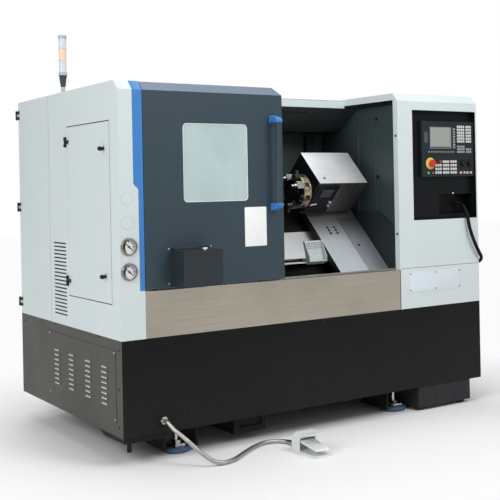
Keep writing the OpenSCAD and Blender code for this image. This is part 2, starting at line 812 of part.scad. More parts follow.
latch_zs = [side_door_z + 122, side_door_z + side_door_h - 125];
latch_y = side_door_y + 58;
latch_r = 7;
module side_door() color(white) machine() {
    gap = 1.5;
    difference() {
        block([0, side_door_y + gap, side_door_z + gap],
            [sheet_t, side_door_y + side_door_w - gap, side_door_z + side_door_h - gap]);
        for (z = latch_zs) translate([0, latch_y, z]) rod_x(-1, sheet_t + 1, latch_r + fit_gap);
    }
    for (z = side_hinge_zs) translate([-hinge_out, side_hinge_y, z]) {
        knuckles(moving_spans, hinge_h);
        for (s = moving_spans) difference() {
            union() {
                block([0, -hinge_leaf - 10, s[0]], [hinge_out, -11, s[1]]);
                block([0, -11, s[0]], [hinge_r - 1, 0, s[1]]);
            }
            hinge_bore(hinge_h);
        }
    }
}

module side_latch(z) color("#1b1c1d") machine() translate([0, latch_y, z]) {
    rod_x(-6, 10, latch_r);
    rod_x(-6 - run_gap, -run_gap, 17);
    rod_x(-latch_out, -6, 12, 15);
    block([-latch_out, -5, -25], [-8, 5, 25]);
    block([sheet_t + run_gap, -52, -9], [sheet_t + 5, 9, 9]);
}

module side_latch_upper() side_latch(latch_zs[1]);

module side_latch_lower() side_latch(latch_zs[0]);

cabinet_handle_x = cabinet_w - 60;
cabinet_handle_z = 1150;
module cabinet_door() color(white) machine() {
    gap = 2;
    difference() {
        block([gap, body_d - sheet_t + run_gap, skirt_top + gap],
            [cabinet_w - gap, body_d, roof_z - sheet_t - gap]);
        translate([cabinet_handle_x, 0, cabinet_handle_z]) rod_y(body_d - 9, body_d + 1, latch_r + fit_gap);
    }
    for (z = cabinet_hinge_zs) translate([cabinet_axis[0], cabinet_axis[1], z]) {
        knuckles(moving_spans, hinge_h);
        for (s = moving_spans) difference() {
            block([0, -hinge_out, s[0]], [hinge_leaf + hinge_out + 4, 0, s[1]]);
            hinge_bore(hinge_h);
        }
    }
}

module cabinet_handle() color("#1b1c1d") machine() translate([cabinet_handle_x, body_d, cabinet_handle_z]) {
    rod_y(-10, 4, latch_r);
    rod_y(run_gap, 14, 20);
    difference() {
        along_y(14, rear_handle_out) translate([-12, -86]) rounded(24, 104, 11);
        block([-13, 13, -64], [13, 22, -20]);
    }
    block([-9, -sheet_t - 6, -9], [42, -sheet_t - 2, 9]);
}

module electrics() color("#9aa0a2") machine() {
    y0 = cabinet_y + sheet_t;
    plate_t = 4;
    z0 = skirt_top + 45;
    z1 = roof_z - 45;
    block([40, y0, z0], [cabinet_w - 40, y0 + plate_t, z1]);
    face = y0 + plate_t;
    for (i = [0:2]) block([80 + i * 130, face, z1 - 430], [190 + i * 130, face + 130, z1 - 60]);
    block([500, face, z1 - 360], [cabinet_w - 80, face + 150, z1 - 60]);
    for (z = [z1 - 520, z1 - 690]) block([70, face, z], [cabinet_w - 70, face + 60, z + 50]);
    for (i = [0:7]) block([90 + i * 100, face, z1 - 630], [150 + i * 100, face + 85, z1 - 545]);
    block([90, face, z0 + 30], [330, face + 140, z0 + 230]);
    for (i = [0:4]) block([400 + i * 90, face, z0 + 60], [470 + i * 90, face + 95, z0 + 190]);
}

// Headstock and drive
module headstock() color(iron) machine() slant() {
    half = 190;
    outer = 135;
    foot = bed_n + bed_seat;
    along_x(bed_x + 12, bulk_x - 12) difference() {
        union() {
            circle(outer);
            polygon([[-half, foot], [half, foot], [half, foot + 40], [outer, 0], [-outer, 0],
                [-half, foot + 40]]);
        }
        circle(spindle_r + fit_gap);
    }
}

// Rim of a ribbed belt pulley, as a half section from the axis
module ribbed_rim(r, w, ribs) {
    pitch = w / ribs;
    depth = pitch * 0.7;
    points = [for (i = [0:ribs - 1]) each [[r, i * pitch], [r, i * pitch + pitch * 0.25],
        [r - depth, (i + 0.6) * pitch], [r, (i + 0.95) * pitch]]];
    polygon(concat([[0, 0]], points, [[r, w], [0, w]]));
}

module spindle() color(steel) machine() translate([0, spindle_y, spindle_z]) {
    nose = bulk_x + 9;
    difference() {
        union() {
            rod_x(90, nose, spindle_r);
            rod_x(nose - 14, nose + 8, 68);
            translate([belt_x - 6, 0, 0]) rotate([0, 90, 0]) rotate_extrude()
                ribbed_rim(pulley_r - run_gap, belt_w + 12, 8);
            rod_x(belt_x + belt_w + 6, bed_x + 12 - run_gap, spindle_r + 20);
        }
        rod_x(80, nose + 20, bore_r);
    }
}

module chuck_cylinder() color(iron) machine() translate([0, spindle_y, spindle_z]) difference() {
    union() {
        rod_x(48, 90, 78);
        rod_x(24, 48, 62);
        for (a = [0:60:300]) rotate([a, 0, 0]) translate([0, 66, 0]) rod_x(42, 50, 6);
    }
    rod_x(20, 95, bore_r);
}

chuck_x = bulk_x + 17;
chuck_x1 = chuck_x + chuck_t;
jaw_w = 34;
jaw_inner = 40;
jaw_outer = chuck_r - 9;
jaw_steps = [12, 32, 57];
module chuck_body() color("#8d9296") machine() translate([0, spindle_y, spindle_z]) difference() {
    translate([chuck_x, 0, 0]) rotate([0, 90, 0]) rotate_extrude() polygon([
        [bore_r, 0], [chuck_r, 0], [chuck_r, chuck_t - 6], [chuck_r - 6, chuck_t], [bore_r, chuck_t]
    ]);
    for (a = [0:120:240]) rotate([a, 0, 0]) {
        block([chuck_x1 - 22, -jaw_w / 2 - run_gap, bore_r - 1],
            [chuck_x1 + 1, jaw_w / 2 + run_gap, chuck_r + 1]);
        for (y = [-34, 34]) translate([0, y, jaw_outer - 26]) rod_x(chuck_x1 - 8, chuck_x1 + 1, 6);
    }
}

module chuck_jaw(a) color("#a7abad") machine() translate([0, spindle_y, spindle_z]) rotate([a, 0, 0])
    difference() {
    union() {
        block([chuck_x1 - 22 + run_gap, -jaw_w / 2, jaw_inner], [chuck_x1 + 1, jaw_w / 2, jaw_outer]);
        for (i = [0:2]) block([chuck_x1, -jaw_w / 2, jaw_inner],
            [chuck_x1 + jaw_steps[i], jaw_w / 2, jaw_outer - 14 * i]);
    }
    translate([0, 0, jaw_outer - 7]) rod_x(chuck_x1 + jaw_steps[0] - 8, chuck_x1 + jaw_steps[0] + 1, 5);
}

module chuck_jaw_1() chuck_jaw(0);

module chuck_jaw_2() chuck_jaw(120);

module chuck_jaw_3() chuck_jaw(240);

motor_x = belt_x + belt_w + 20;
shaft_r = 19;
module drive_motors() color("#3b4246") machine() {
    translate([0, motor_y, motor_z]) difference() {
        union() {
            block([motor_x, -motor_half, -motor_half], [motor_x + 18, motor_half, motor_half]);
            block([motor_x + 18, 12 - motor_half, -motor_half],
                [motor_x + 300, motor_half - 12, motor_half - 12]);
            for (i = [0:6]) block([motor_x + 40, 6 - motor_half, -75 + i * 24],
                [motor_x + 280, motor_half - 6, -67 + i * 24]);
            rod_x(motor_x + 300, motor_x + 345, 85);
        }
        rod_x(motor_x - 1, motor_x + 60, shaft_r + fit_gap);
    }
    slant() translate([0, screw_s, screw_n]) {
        block([wall_x + sheet_t, -45, -45], [wall_x + 22, 45, 45]);
        block([wall_x + 22, -40, -40], [wall_x + 150, 40, 40]);
        block([wall_x + 150, -34, -34], [wall_x + 190, 34, 34]);
    }
}

module motor_pulley() color(steel) machine() translate([0, motor_y, motor_z]) {
    translate([belt_x - 6, 0, 0]) rotate([0, 90, 0]) rotate_extrude()
        ribbed_rim(motor_pulley_r - run_gap, belt_w + 12, 8);
    rod_x(belt_x, motor_x + 55, shaft_r);
}

// Outline of a belt round two pulleys, in the plane across the spindle
belt_dy = motor_y - spindle_y;
belt_dz = motor_z - spindle_z;
belt_span = norm([belt_dy, belt_dz]);
belt_lean = asin((pulley_r - motor_pulley_r) / belt_span);
function arc(x, r, from, to, steps) =
    [for (i = [0:steps]) let (a = from + (to - from) * i / steps) [x + r * cos(a), r * sin(a)]];

module belt_loop(grow) rotate(atan2(belt_dz, belt_dy)) polygon(concat(
    arc(0, pulley_r + grow, 90 - belt_lean, 270 + belt_lean, 32),
    arc(belt_span, motor_pulley_r + grow, belt_lean - 90, 90 - belt_lean, 24)));

module drive_belt() color("#1a1a1a") machine() translate([0, spindle_y, spindle_z])
    along_x(belt_x, belt_x + belt_w) difference() {
        belt_loop(belt_t);
        belt_loop(belt_seat);
    }

// Slanted bed with its slides
module slant_bed() color(iron) machine() slant() {
    block([bed_x, -bed_half, bed_n - slab_t], [wall_x - bed_seat, bed_half, bed_n]);
    for (s = [-rail_s, rail_s]) block([bulk_x + 80, s - rail_w / 2, bed_n],
        [wall_x - 5, s + rail_w / 2, bed_n + rail_h]);
    for (x = [bulk_x + 80, wall_x - 40]) difference() {
        block([x, screw_s - 30, bed_n], [x + 35, screw_s + 30, screw_n + 26]);
        translate([0, screw_s, screw_n]) rod_x(x - 1, x + 36, screw_r - 3 + fit_gap);
    }
}

module z_screw() color(steel) machine() slant() translate([0, screw_s, screw_n]) {
    rod_x(bulk_x + 80, wall_x - run_gap, screw_r - 3);
    rod_x(bulk_x + 116, wall_x - 41, screw_r);
}

module saddle() color(iron) machine() slant() {
    shoe = 45;
    block([saddle_x, -rail_s - shoe, saddle_n], [saddle_x + saddle_w, rail_s + shoe, plate_n - plate_t]);
    for (x = [saddle_x, saddle_x + saddle_w - 80], s = [-rail_s, rail_s]) difference() {
        block([x, s - shoe, bed_n + 8], [x + 80, s + shoe, saddle_n]);
        block([x - 1, s - rail_w / 2 - run_gap, bed_n],
            [x + 81, s + rail_w / 2 + run_gap, bed_n + rail_h + run_gap]);
    }
    difference() {
        block([saddle_x + 90, rail_s + shoe, bed_n + 2], [saddle_x + 170, screw_s + 30, screw_n + 30]);
        translate([0, screw_s, screw_n]) rod_x(saddle_x + 80, saddle_x + 180, screw_r + 0.1 - fit_gap);
    }
    block([saddle_x + 90, rail_s + shoe - 20, saddle_n], [saddle_x + 170, screw_s + 30, saddle_n + 12]);
}

module saddle_cover() color(steel) machine() slant() {
    low = -405;
    hole_r = 8;
    difference() {
        block([plate_x0, low, plate_n - plate_t], [plate_x1, 300, plate_n]);
        for (x = [plate_x0 + 92, plate_x0 + 140], s = [-4, 18, 40]) translate([x, s, 0])
            rod_z(plate_n - 10, plate_n + 5, hole_r);
        translate([plate_x1 - 118, -105, 0]) rod_z(plate_n - 10, plate_n + 5, hole_r);
    }
    block([plate_x1 - 140, low, plate_n], [plate_x1, 110, plate_n + 2]);
    block([plate_x0, low, plate_n - 40], [plate_x0 + plate_t, 300, plate_n - plate_t]);
}

module way_cover() color("#c9c7c0") machine() {
    t = 2;
    low = -390;
    slant() block([bulk_x + sheet_t, -140, cover_n - t], [wall_x, cover_s, cover_n]);
    slant() block([bulk_x + sheet_t, low, cover_n - t], [wall_x, -rail_s - 50, cover_n]);
    floor_z = 632;
    edge_y = spindle_y + (low - cover_n) / root2;
    along_x(bulk_x + sheet_t, wall_x) polygon([
        [lip_d, floor_z - t], [edge_y, floor_z - t], [edge_y, floor_z], [lip_d + t, floor_z],
        [lip_d + t, apron_top], [lip_d, apron_top]
    ]);
}

// Turret
module turret_housing() color("#a9a6a0") machine() slant() difference() {
    union() {
        block([turret_x, box_s0, box_n0], [turret_x + turret_w, box_s1, box_n1]);
        block([turret_x, box_s0 - 4, box_n1], [turret_x + turret_w, box_s1 + 2, box_n1 + 3]);
        block([turret_x + 12, box_s0 + 28, plate_n + run_gap],
            [turret_x + turret_w - 12, box_s1 - 10, box_n0]);
        block([turret_x + 6, box_s0 - 9, box_n0 + 6], [turret_x + 150, box_s0, 96]);
        translate([turret_x + 40, box_s0 - 15, 14]) cube([76, 8, 52]);
        for (n = [-54, -28]) translate([turret_x + 136, box_s0 - 19, n]) rotate([-90, 0, 0])
            cylinder(h = 12, r = 8, $fn = 6);
    }
    translate([0, turret_s, 0]) rod_x(turret_x - 1, turret_x + 60, hub_r + fit_gap);
    for (i = [0:5]) translate([turret_x + 24 + i * 18, box_s0 - 10, box_n0 + 22]) rotate([-90, 0, 0])
        cylinder(h = 6, r = 5);
}

disc_x1 = turret_x - neck_l;
disc_x0 = disc_x1 - disc_t;
station_a = 360 / stations;
module turret_disc() color("#6d7072") machine() slant() translate([0, turret_s, 0]) difference() {
    edge = 4;
    cap_r = 42;
    union() {
        translate([disc_x0, 0, 0]) rotate([0, 90, 0]) rotate_extrude() polygon([
            [0, 0], [disc_r - edge, 0], [disc_r, edge], [disc_r, disc_t - edge], [disc_r - edge, disc_t],
            [0, disc_t]
        ]);
        rod_x(disc_x1, turret_x + 50, hub_r);
        rod_x(disc_x0 - 8, disc_x0, cap_r - 2, cap_r);
    }
    for (i = [0:stations - 1]) rotate([(i + 0.5) * station_a, 0, 0]) {
        block([disc_x0 + 12, -13, disc_r - 9], [disc_x1 - 12, 13, disc_r + 1]);
        for (x = [disc_x0 + 22, disc_x1 - 22]) translate([x, 0, 0]) rod_z(disc_r - 18, disc_r, 4);
    }
    for (i = [0:5]) rotate([i * 60, 0, 0]) translate([0, 0, cap_r - 10]) rod_x(disc_x0 - 9, disc_x0 - 3, 4);
}

// One block for a boring bar and one for a square-shank tool, in turn round the disc
module tool_holders() color("#8a8478") machine() slant() translate([0, turret_s, 0])
    for (i = [0:stations - 1]) rotate([(i + 0.5) * station_a, 0, 0]) {
        if (i % 2 == 0) {
            block([disc_x0 - 40, -21, disc_r - 34], [disc_x0, 21, disc_r + 2]);
            translate([0, 0, disc_r - 16]) rod_x(disc_x0 - 70, disc_x0 - 40, 8);
            translate([0, 0, disc_r - 16]) rod_x(disc_x0 - 54, disc_x0 - 40, 13);
        } else {
            block([disc_x0 - 26, -19, disc_r - 32], [disc_x0, 19, disc_r + 6]);
            block([disc_x0 - 22, -8, disc_r + 6], [disc_x0 - 4, 8, disc_r + 30]);
        }
    }

// Parts catcher under the chuck
catch_y = 235;
catch_z = 846;
catch_r = 9;
module catcher_tray() color("#c3cbcb") machine() translate([0, catch_y, catch_z]) {
    x0 = bulk_x + 270;
    x1 = x0 + 115;
    t = 3;
    rod_x(bulk_x - 20, x0 + 60, catch_r);
    difference() {
        along_x(x0, x1) polygon([[-90, -4], [-66, -20], [-32, 102], [-44, 104], [-90, 24]]);
        along_x(x0 + t, x1 - t) polygon([[-100, 8], [-68, -14.5], [-35.5, 101], [-60, 140], [-100, 140]]);
        for (i = [0:3], j = [0:1]) translate([x0 + 38 + i * 14, 0, 36 + j * 14]) rod_y(-70, -30, 3);
    }
    block([x0 + 12, -56, -11], [x0 + 48, catch_r, catch_r]);
}

module interior_liners() color(dark) machine() {
    slab_k = slant_k + root2 * bed_n + 1;
    low_z = ceiling_z - ceiling_drop;
    t = sheet_t;
    difference() {
        along_x(bulk_x, bulk_x + t) polygon([
            [cover_y + t, apron_top], [lip_d + 8, apron_top], [lip_d + 8, 636], [636 - slab_k, 636],
            [back_y, back_y + slab_k], [back_y, low_z], [roof_y + ceiling_run, low_z],
            [roof_y, ceiling_z], [cover_y + t, ceiling_z]
        ]);
        translate([0, spindle_y, spindle_z]) rod_x(bulk_x - 1, bulk_x + t + 1, chuck_r + 6);
        translate([0, catch_y, catch_z]) rod_x(bulk_x - 1, bulk_x + t + 1, catch_r + fit_gap);
    }
    along_x(wall_x, wall_x + t) polygon([
        [flange_d, skirt_top], [back_y, skirt_top], [back_y, low_z], [roof_y + ceiling_run, low_z],
        [roof_y, ceiling_z], [flange_d, ceiling_z]
    ]);
    along_x(bulk_x + t, wall_x) polygon([
        [roof_y, ceiling_z], [roof_y, ceiling_z - t], [roof_y + ceiling_run, low_z - t],
        [back_y - t, low_z - t], [back_y - t, back_y + slab_k], [back_y, back_y + slab_k],
        [back_y, low_z], [roof_y + ceiling_run, low_z]
    ]);
    translate([0, roof_y, ceiling_z - t]) rotate([-atan2(ceiling_drop, ceiling_run), 0, 0])
        block([bulk_x + 130, 40, -16], [bulk_x + 520, 150, 1]);
    along_x(wall_x - 8, wall_x) polygon([
        [lip_d + 8, 640], [lip_d + 8, 950], [262, 1086], [470, 1086], [470, 940], [190, 660]
    ]);
    slant() block([bulk_x + t, cover_s + 2, cover_n - 2], [wall_x - 8, 252, cover_n]);
    block([wall_x - 140, back_y - t - 36, back_y + slab_k + 10],
        [wall_x - 84, back_y - t, low_z - 16]);
    for (y = [301, 448]) block([wall_x - 4, y, 1090], [wall_x, y + 24, ceiling_z - 60]);
}

// Coolant tank, pedal and cords
module coolant_tank() color("#34373e") machine() {
    x0 = right_x + 119;
    x1 = x0 + 390;
    z0 = 18;
    block([x0, 4, z0], [x1, 720, skirt_z]);
    for (x = [x0 + 40, x1 - 40], y = [50, 670]) translate([x, y, 0]) rod_z(0, z0, 24);
    along_x(8, 236) polygon([[10, skirt_z], [10, skirt_z - 26], [230, skirt_z - 26], [290, skirt_z]]);
    translate([42, 30, 0]) rod_z(62, skirt_z - 26, 11);
}

pedal_axis_y = pedal_back - 46;
pedal_axis_z = 52;
module pedal_base() color("#c5cdcd") machine() {
    t = 4;
    x1 = pedal_x + pedal_w;
    block([pedal_x, pedal_front, 0], [x1, pedal_back, 8]);
    difference() {
        along_x(pedal_x, x1) polygon([
            [pedal_back, 8], [pedal_back - 62, 8], [pedal_back - 62, 56], [pedal_back - 72, 80],
            [pedal_back - 150, 96],
            [pedal_back - 150, 101], [pedal_back - 66, 92], [pedal_back - 30, 92], [pedal_back, 66]
        ]);
        along_x(pedal_x + t, x1 - t) polygon([
            [pedal_back - 6, 8], [pedal_back - 70, 8], [pedal_back - 70, 62], [pedal_back - 58, 86],
            [pedal_back - 32, 86], [pedal_back - 6, 62]
        ]);
    }
    translate([0, pedal_axis_y, pedal_axis_z]) rod_x(pedal_x + t, x1 - t, 4);
}

module pedal_treadle() color("#b4bcbe") machine() {
    x0 = pedal_x + 10;
    x1 = pedal_x + pedal_w - 10;
    difference() {
        along_x(x0, x1) polygon([
            [pedal_axis_y + 9, pedal_axis_z - 9], [pedal_axis_y + 9, pedal_axis_z + 9],
            [pedal_axis_y - 20, pedal_axis_z + 6],
            [pedal_front + 8, 36], [pedal_front + 4, 30], [pedal_front + 10, 28],
            [pedal_axis_y - 20, pedal_axis_z - 7]
        ]);
        translate([0, pedal_axis_y, pedal_axis_z]) rod_x(x0 - 1, x1 + 1, 4 + fit_gap);
        for (i = [0:4]) block([x0 + 6, pedal_front + 24 + i * 14, 0],
            [x1 - 6, pedal_front + 28 + i * 14, 200]);
    }
}

// Tube swept along a list of points, with rings square to the route
function unit(v) = v / norm(v);
function heading(route, i) = unit(route[min(i + 1, len(route) - 1)] - route[max(i - 1, 0)]);
function ring(route, i, r, sides) =
    let (d = heading(route, i), guide = abs(d[2]) > 0.9 ? [0, 1, 0] : [0, 0, 1],
        u = unit(cross(d, guide)), v = cross(u, d))
    [for (k = [0:sides - 1]) route[i] + r * cos(360 * k / sides) * u + r * sin(360 * k / sides) * v];

module tube(route, r, sides = 10) {
    n = len(route);
    points = [for (i = [0:n - 1]) each ring(route, i, r, sides)];
    sides_list = [for (i = [0:n - 2], k = [0:sides - 1])
        [i * sides + k, i * sides + (k + 1) % sides, (i + 1) * sides + (k + 1) % sides,
        (i + 1) * sides + k]];
    ends = [[for (k = [0:sides - 1]) sides - 1 - k], [for (k = [0:sides - 1]) (n - 1) * sides + k]];
    polyhedron(points, concat(sides_list, ends), convexity = 6);
}

module conduit() color("#beb4aa") machine() tube(conduit_route, conduit_d / 2);

module panel_cable() color("#1b1c1d") machine() tube(cable_route, cable_d / 2);

module gland(y0, y1, r) {
    rod_y(y0, y1, r);
    translate([0, (y0 + y1) / 2, 0]) rotate([90, 0, 0])
        cylinder(h = 8, r = r * 1.35, center = true, $fn = 6);
}

module cord_glands() color("#8f9396") machine() {
    start = conduit_route[0];
    finish = conduit_route[len(conduit_route) - 1];
    plug = cable_route[0];
    side = cable_route[len(cable_route) - 1];
    gland_r = conduit_d / 2 + 4;
    cable_gland_r = cable_d / 2 + 4;
    translate([start[0], 0, start[2]]) gland(start[1], 0, gland_r);
    translate([finish[0], 0, finish[2]]) gland(pedal_back, finish[1], gland_r);
    translate([plug[0], 0, plug[2]]) gland(plug[1], recess_d + pocket_d - 3, cable_gland_r);
    translate([side[0], 0, side[2]]) {
        gland(side[1], side[1] + 30, cable_gland_r);
        block([body_w - side[0], side[1] + 30, -16], [16, side[1] + 66, 16]);
    }
}

base_casting();
levelling_feet();
skirt_panels();
louvre_panel();
side_panel_left();
outer_panels();
column_left();
stripe_trim();
headstock_cover();
apron();
column_right();
control_recess();
display_unit();
machine_panel();
estop_button();
override_knob_left();
override_knob_right();
gauge_cases();
gauge_needle_upper();
gauge_needle_lower();
signal_tower();
door_panel();
door_window();
door_handle();
tool_box();
tool_box_lid();
door_rails();
side_door();
side_latch_upper();
side_latch_lower();
cabinet_door();
cabinet_handle();
door_hinges();
electrics();
headstock();
spindle();
chuck_cylinder();
chuck_body();
chuck_jaw_1();
chuck_jaw_2();
chuck_jaw_3();
drive_motors();
motor_pulley();
drive_belt();
slant_bed();
z_screw();
saddle();
saddle_cover();
way_cover();
turret_housing();
turret_disc();
tool_holders();
catcher_tray();
interior_liners();
coolant_tank();
pedal_base();
pedal_treadle();
conduit();
panel_cable();
cord_glands();
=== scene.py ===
import math

import bmesh
import bpy
from mathutils import Matrix, Vector


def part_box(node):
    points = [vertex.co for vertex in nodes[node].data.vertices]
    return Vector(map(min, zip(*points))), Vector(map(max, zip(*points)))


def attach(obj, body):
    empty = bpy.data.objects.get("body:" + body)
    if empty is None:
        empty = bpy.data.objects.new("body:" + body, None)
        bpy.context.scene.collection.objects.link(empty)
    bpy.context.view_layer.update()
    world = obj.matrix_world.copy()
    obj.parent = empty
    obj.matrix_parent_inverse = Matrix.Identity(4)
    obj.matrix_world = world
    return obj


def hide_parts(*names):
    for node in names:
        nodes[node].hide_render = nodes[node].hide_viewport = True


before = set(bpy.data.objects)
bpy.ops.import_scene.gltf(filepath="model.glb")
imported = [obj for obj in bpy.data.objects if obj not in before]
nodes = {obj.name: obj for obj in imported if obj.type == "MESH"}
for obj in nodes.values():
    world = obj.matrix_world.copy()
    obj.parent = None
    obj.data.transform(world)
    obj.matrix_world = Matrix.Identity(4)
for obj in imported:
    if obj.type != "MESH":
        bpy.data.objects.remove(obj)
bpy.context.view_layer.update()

scene = bpy.context.scene
scene.view_settings.view_transform = "Standard"
cornerX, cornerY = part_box("skirt_panels")[0][:2]  # front left corner of the enclosure
print("frame loaded:", len(nodes), "nodes")


# millimetres from the front left corner on the floor, as the part is drawn
def place(x, y, z):
    return Vector((cornerX + x / 1000, cornerY + y / 1000, z / 1000))


def millimetres(point):
    return (point[0] - cornerX) * 1000, (point[1] - cornerY) * 1000, point[2] * 1000


spindle = (285, 1082)  # across and up, in the same millimetres
slope = math.sqrt(0.5)  # the bed leans by 45 degrees
toFront, toLeft, toBack, toTop = (0, -1, 0), (-1, 0, 0), (0, 1, 0), (0, -slope, slope)


# x along the spindle, s up the slanted bed, n out of it
def slanted(x, s, n):
    return place(x, spindle[0] + (s - n) * slope, spindle[1] + (s + n) * slope)


# s and n of a point, and how far a normal turns out of the bed
def upBed(y, z):
    return ((y - spindle[0]) + (z - spindle[1])) * slope


def outOfBed(y, z):
    return ((z - spindle[1]) - (y - spindle[0])) * slope


def outward(normal):
    return (normal[2] - normal[1]) * slope


def srgb(r, g, b):
    return tuple((c / 255 / 12.92) if c < 10.3 else ((c / 255 + 0.055) / 1.055) ** 2.4 for c in (r, g, b)) + (1,)


# camera

photoView = {
    "position": (-1807.5, -3853.9, 1243.3),
    "yaw": 32.98,
    "roll": -1.11,
    "lens": 68.58,
    "sensor": 36,
    "shiftY": -0.1278,
    "reach": 100,
}


def addCamera(view):
    data = bpy.data.cameras.new("photoCamera")
    data.lens = view["lens"]
    data.sensor_width = view["sensor"]
    data.shift_y = view["shiftY"]
    data.clip_end = view["reach"]
    yaw = math.radians(view["yaw"])
    roll = math.radians(view["roll"])
    ahead = Vector((math.sin(yaw), math.cos(yaw), 0))
    side = Vector((math.cos(yaw), -math.sin(yaw), 0))
    up = Vector((0, 0, 1))
    right = side * math.cos(roll) + up * math.sin(roll)
    top = up * math.cos(roll) - side * math.sin(roll)
    turn = Matrix((right, top, -ahead)).transposed().to_4x4()
    obj = bpy.data.objects.new("photoCamera", data)
    scene.collection.objects.link(obj)
    obj.matrix_world = Matrix.Translation(place(*view["position"])) @ turn
    scene.camera = obj


addCamera(photoView)
print("camera placed")


# shader helpers

def addNode(tree, kind, **values):
    made = tree.nodes.new(kind)
    for key, value in values.items():
        setattr(made, key, value)
    return made


# a value that is a socket is linked, any other is set
def feed(tree, socket, value):
    if hasattr(value, "is_output"):
        tree.links.new(value, socket)
    else:
        socket.default_value = value


def setInputs(shaderNode, values):
    for key, value in values.items():
        shaderNode.inputs[key].default_value = value


def newGroup(name, inputs, outputs):
    tree = bpy.data.node_groups.new(name, "ShaderNodeTree")
    for label, kind, value in inputs:
        socket = tree.interface.new_socket(label, in_out="INPUT", socket_type=kind)
        socket.default_value = value
    for label, kind in outputs:
        tree.interface.new_socket(label, in_out="OUTPUT", socket_type=kind)
    return tree, addNode(tree, "NodeGroupInput").outputs, addNode(tree, "NodeGroupOutput").inputs


def mathNode(tree, operation, a, b=0.0):
    made = addNode(tree, "ShaderNodeMath", operation=operation)
    feed(tree, made.inputs[0], a)
    feed(tree, made.inputs[1], b)
    return made.outputs[0]


def mixColours(tree, factor, a, b, blend="MIX"):
    made = addNode(tree, "ShaderNodeMix", data_type="RGBA", blend_type=blend)
    for index, value in ((0, factor), (6, a), (7, b)):
        feed(tree, made.inputs[index], value)
    return made.outputs[2]


def spread(tree, value, band, toLow=0.0, toHigh=1.0):
    made = addNode(tree, "ShaderNodeMapRange")
    for index, bound in enumerate((value, *band, toLow, toHigh)):
        feed(tree, made.inputs[index], bound)
    return made.outputs[0]


def noise(tree, vector, scale, detail=3.0, roughness=0.55):
    made = addNode(tree, "ShaderNodeTexNoise")
    for key, value in (("Vector", vector), ("Scale", scale), ("Detail", detail), ("Roughness", roughness)):
        feed(tree, made.inputs[key], value)
    return made.outputs["Fac"]


def objectPoint(tree):
    return addNode(tree, "ShaderNodeTexCoord").outputs["Object"]


def heightOf(tree, point):
    split = addNode(tree, "ShaderNodeSeparateXYZ")
    tree.links.new(point, split.inputs[0])
    return split.outputs["Z"]


finishOutputs = [("Color", "NodeSocketColor"), ("Roughness", "NodeSocketFloat"), ("Height", "NodeSocketFloat")]
coatLook = {
    "cloudScale": 2.3, "fineScale": 38.0, "cloudBand": (0.35, 0.7), "shade": (0.55, 0.55, 0.56, 1),
    "dustHeight": (0.02, 0.55), "dust": srgb(150, 144, 134), "cloudShare": 0.6, "fineShare": 0.4,
    "roughBand": (0.3, 0.7),
}
brushLook = {"streakScale": 4.0, "streakBand": (0.35, 0.65), "blotchBand": (0.38, 0.66), "roughBand": (0.3, 0.7)}


# cloudy shade, orange peel and a little dust towards the floor, for painted sheet
def makeCoatGroup(look):
    tree, given, out = newGroup("coatFinish", [
        ("Color", "NodeSocketColor", (0.8, 0.8, 0.8, 1)),
        ("Shade", "NodeSocketFloat", 0.08),
        ("Peel Scale", "NodeSocketFloat", 420.0),
        ("Rough Low", "NodeSocketFloat", 0.35),
        ("Rough High", "NodeSocketFloat", 0.5),
        ("Dust", "NodeSocketFloat", 0.1),
    ], finishOutputs)
    where = objectPoint(tree)
    cloud = noise(tree, where, look["cloudScale"], 4.0)
    fine = noise(tree, where, look["fineScale"], 2.0)
    peel = noise(tree, where, given["Peel Scale"], 2.0)
    darker = mixColours(tree, 1.0, given["Color"], look["shade"], "MULTIPLY")
    amount = mathNode(tree, "MULTIPLY", spread(tree, cloud, look["cloudBand"]), given["Shade"])
    shaded = mixColours(tree, amount, given["Color"], darker)
    low = spread(tree, heightOf(tree, where), look["dustHeight"], 1.0, 0.0)
    dustMask = mathNode(tree, "MULTIPLY", mathNode(tree, "MULTIPLY", low, given["Dust"]), fine)
    tree.links.new(mixColours(tree, dustMask, shaded, look["dust"]), out["Color"])
    blend = mathNode(tree, "ADD", mathNode(tree, "MULTIPLY", cloud, look["cloudShare"]),
                     mathNode(tree, "MULTIPLY", fine, look["fineShare"]))
    tree.links.new(spread(tree, blend, look["roughBand"], given["Rough Low"], given["Rough High"]), out["Roughness"])
    tree.links.new(peel, out["Height"])
    return tree


# drawn-out streaks for brushed and ground metal
def makeBrushGroup(look):
    tree, given, out = newGroup("brushedFinish", [
        ("Color", "NodeSocketColor", (0.6, 0.6, 0.6, 1)),
        ("Dark Color", "NodeSocketColor", (0.3, 0.3, 0.3, 1)),
        ("Stretch", "NodeSocketVector", (1.0, 60.0, 60.0)),
        ("Streak", "NodeSocketFloat", 0.5),
        ("Blotch Scale", "NodeSocketFloat", 3.0),
        ("Blotch", "NodeSocketFloat", 0.3),
        ("Rough Low", "NodeSocketFloat", 0.2),
        ("Rough High", "NodeSocketFloat", 0.4),
    ], finishOutputs)
    where = objectPoint(tree)
    stretched = addNode(tree, "ShaderNodeVectorMath", operation="MULTIPLY")
    tree.links.new(where, stretched.inputs[0])
    tree.links.new(given["Stretch"], stretched.inputs[1])
    streak = noise(tree, stretched.outputs[0], look["streakScale"], 4.0, 0.6)
    blotch = noise(tree, where, given["Blotch Scale"], 3.0)
    streakMask = mathNode(tree, "MULTIPLY", spread(tree, streak, look["streakBand"]), given["Streak"])
    blotchMask = mathNode(tree, "MULTIPLY", spread(tree, blotch, look["blotchBand"]), given["Blotch"])
    mask = mathNode(tree, "MAXIMUM", streakMask, blotchMask)
    tree.links.new(mixColours(tree, mask, given["Color"], given["Dark Color"]), out["Color"])
    tree.links.new(spread(tree, streak, look["roughBand"], given["Rough Low"], given["Rough High"]), out["Roughness"])
    tree.links.new(streak, out["Height"])
    return tree


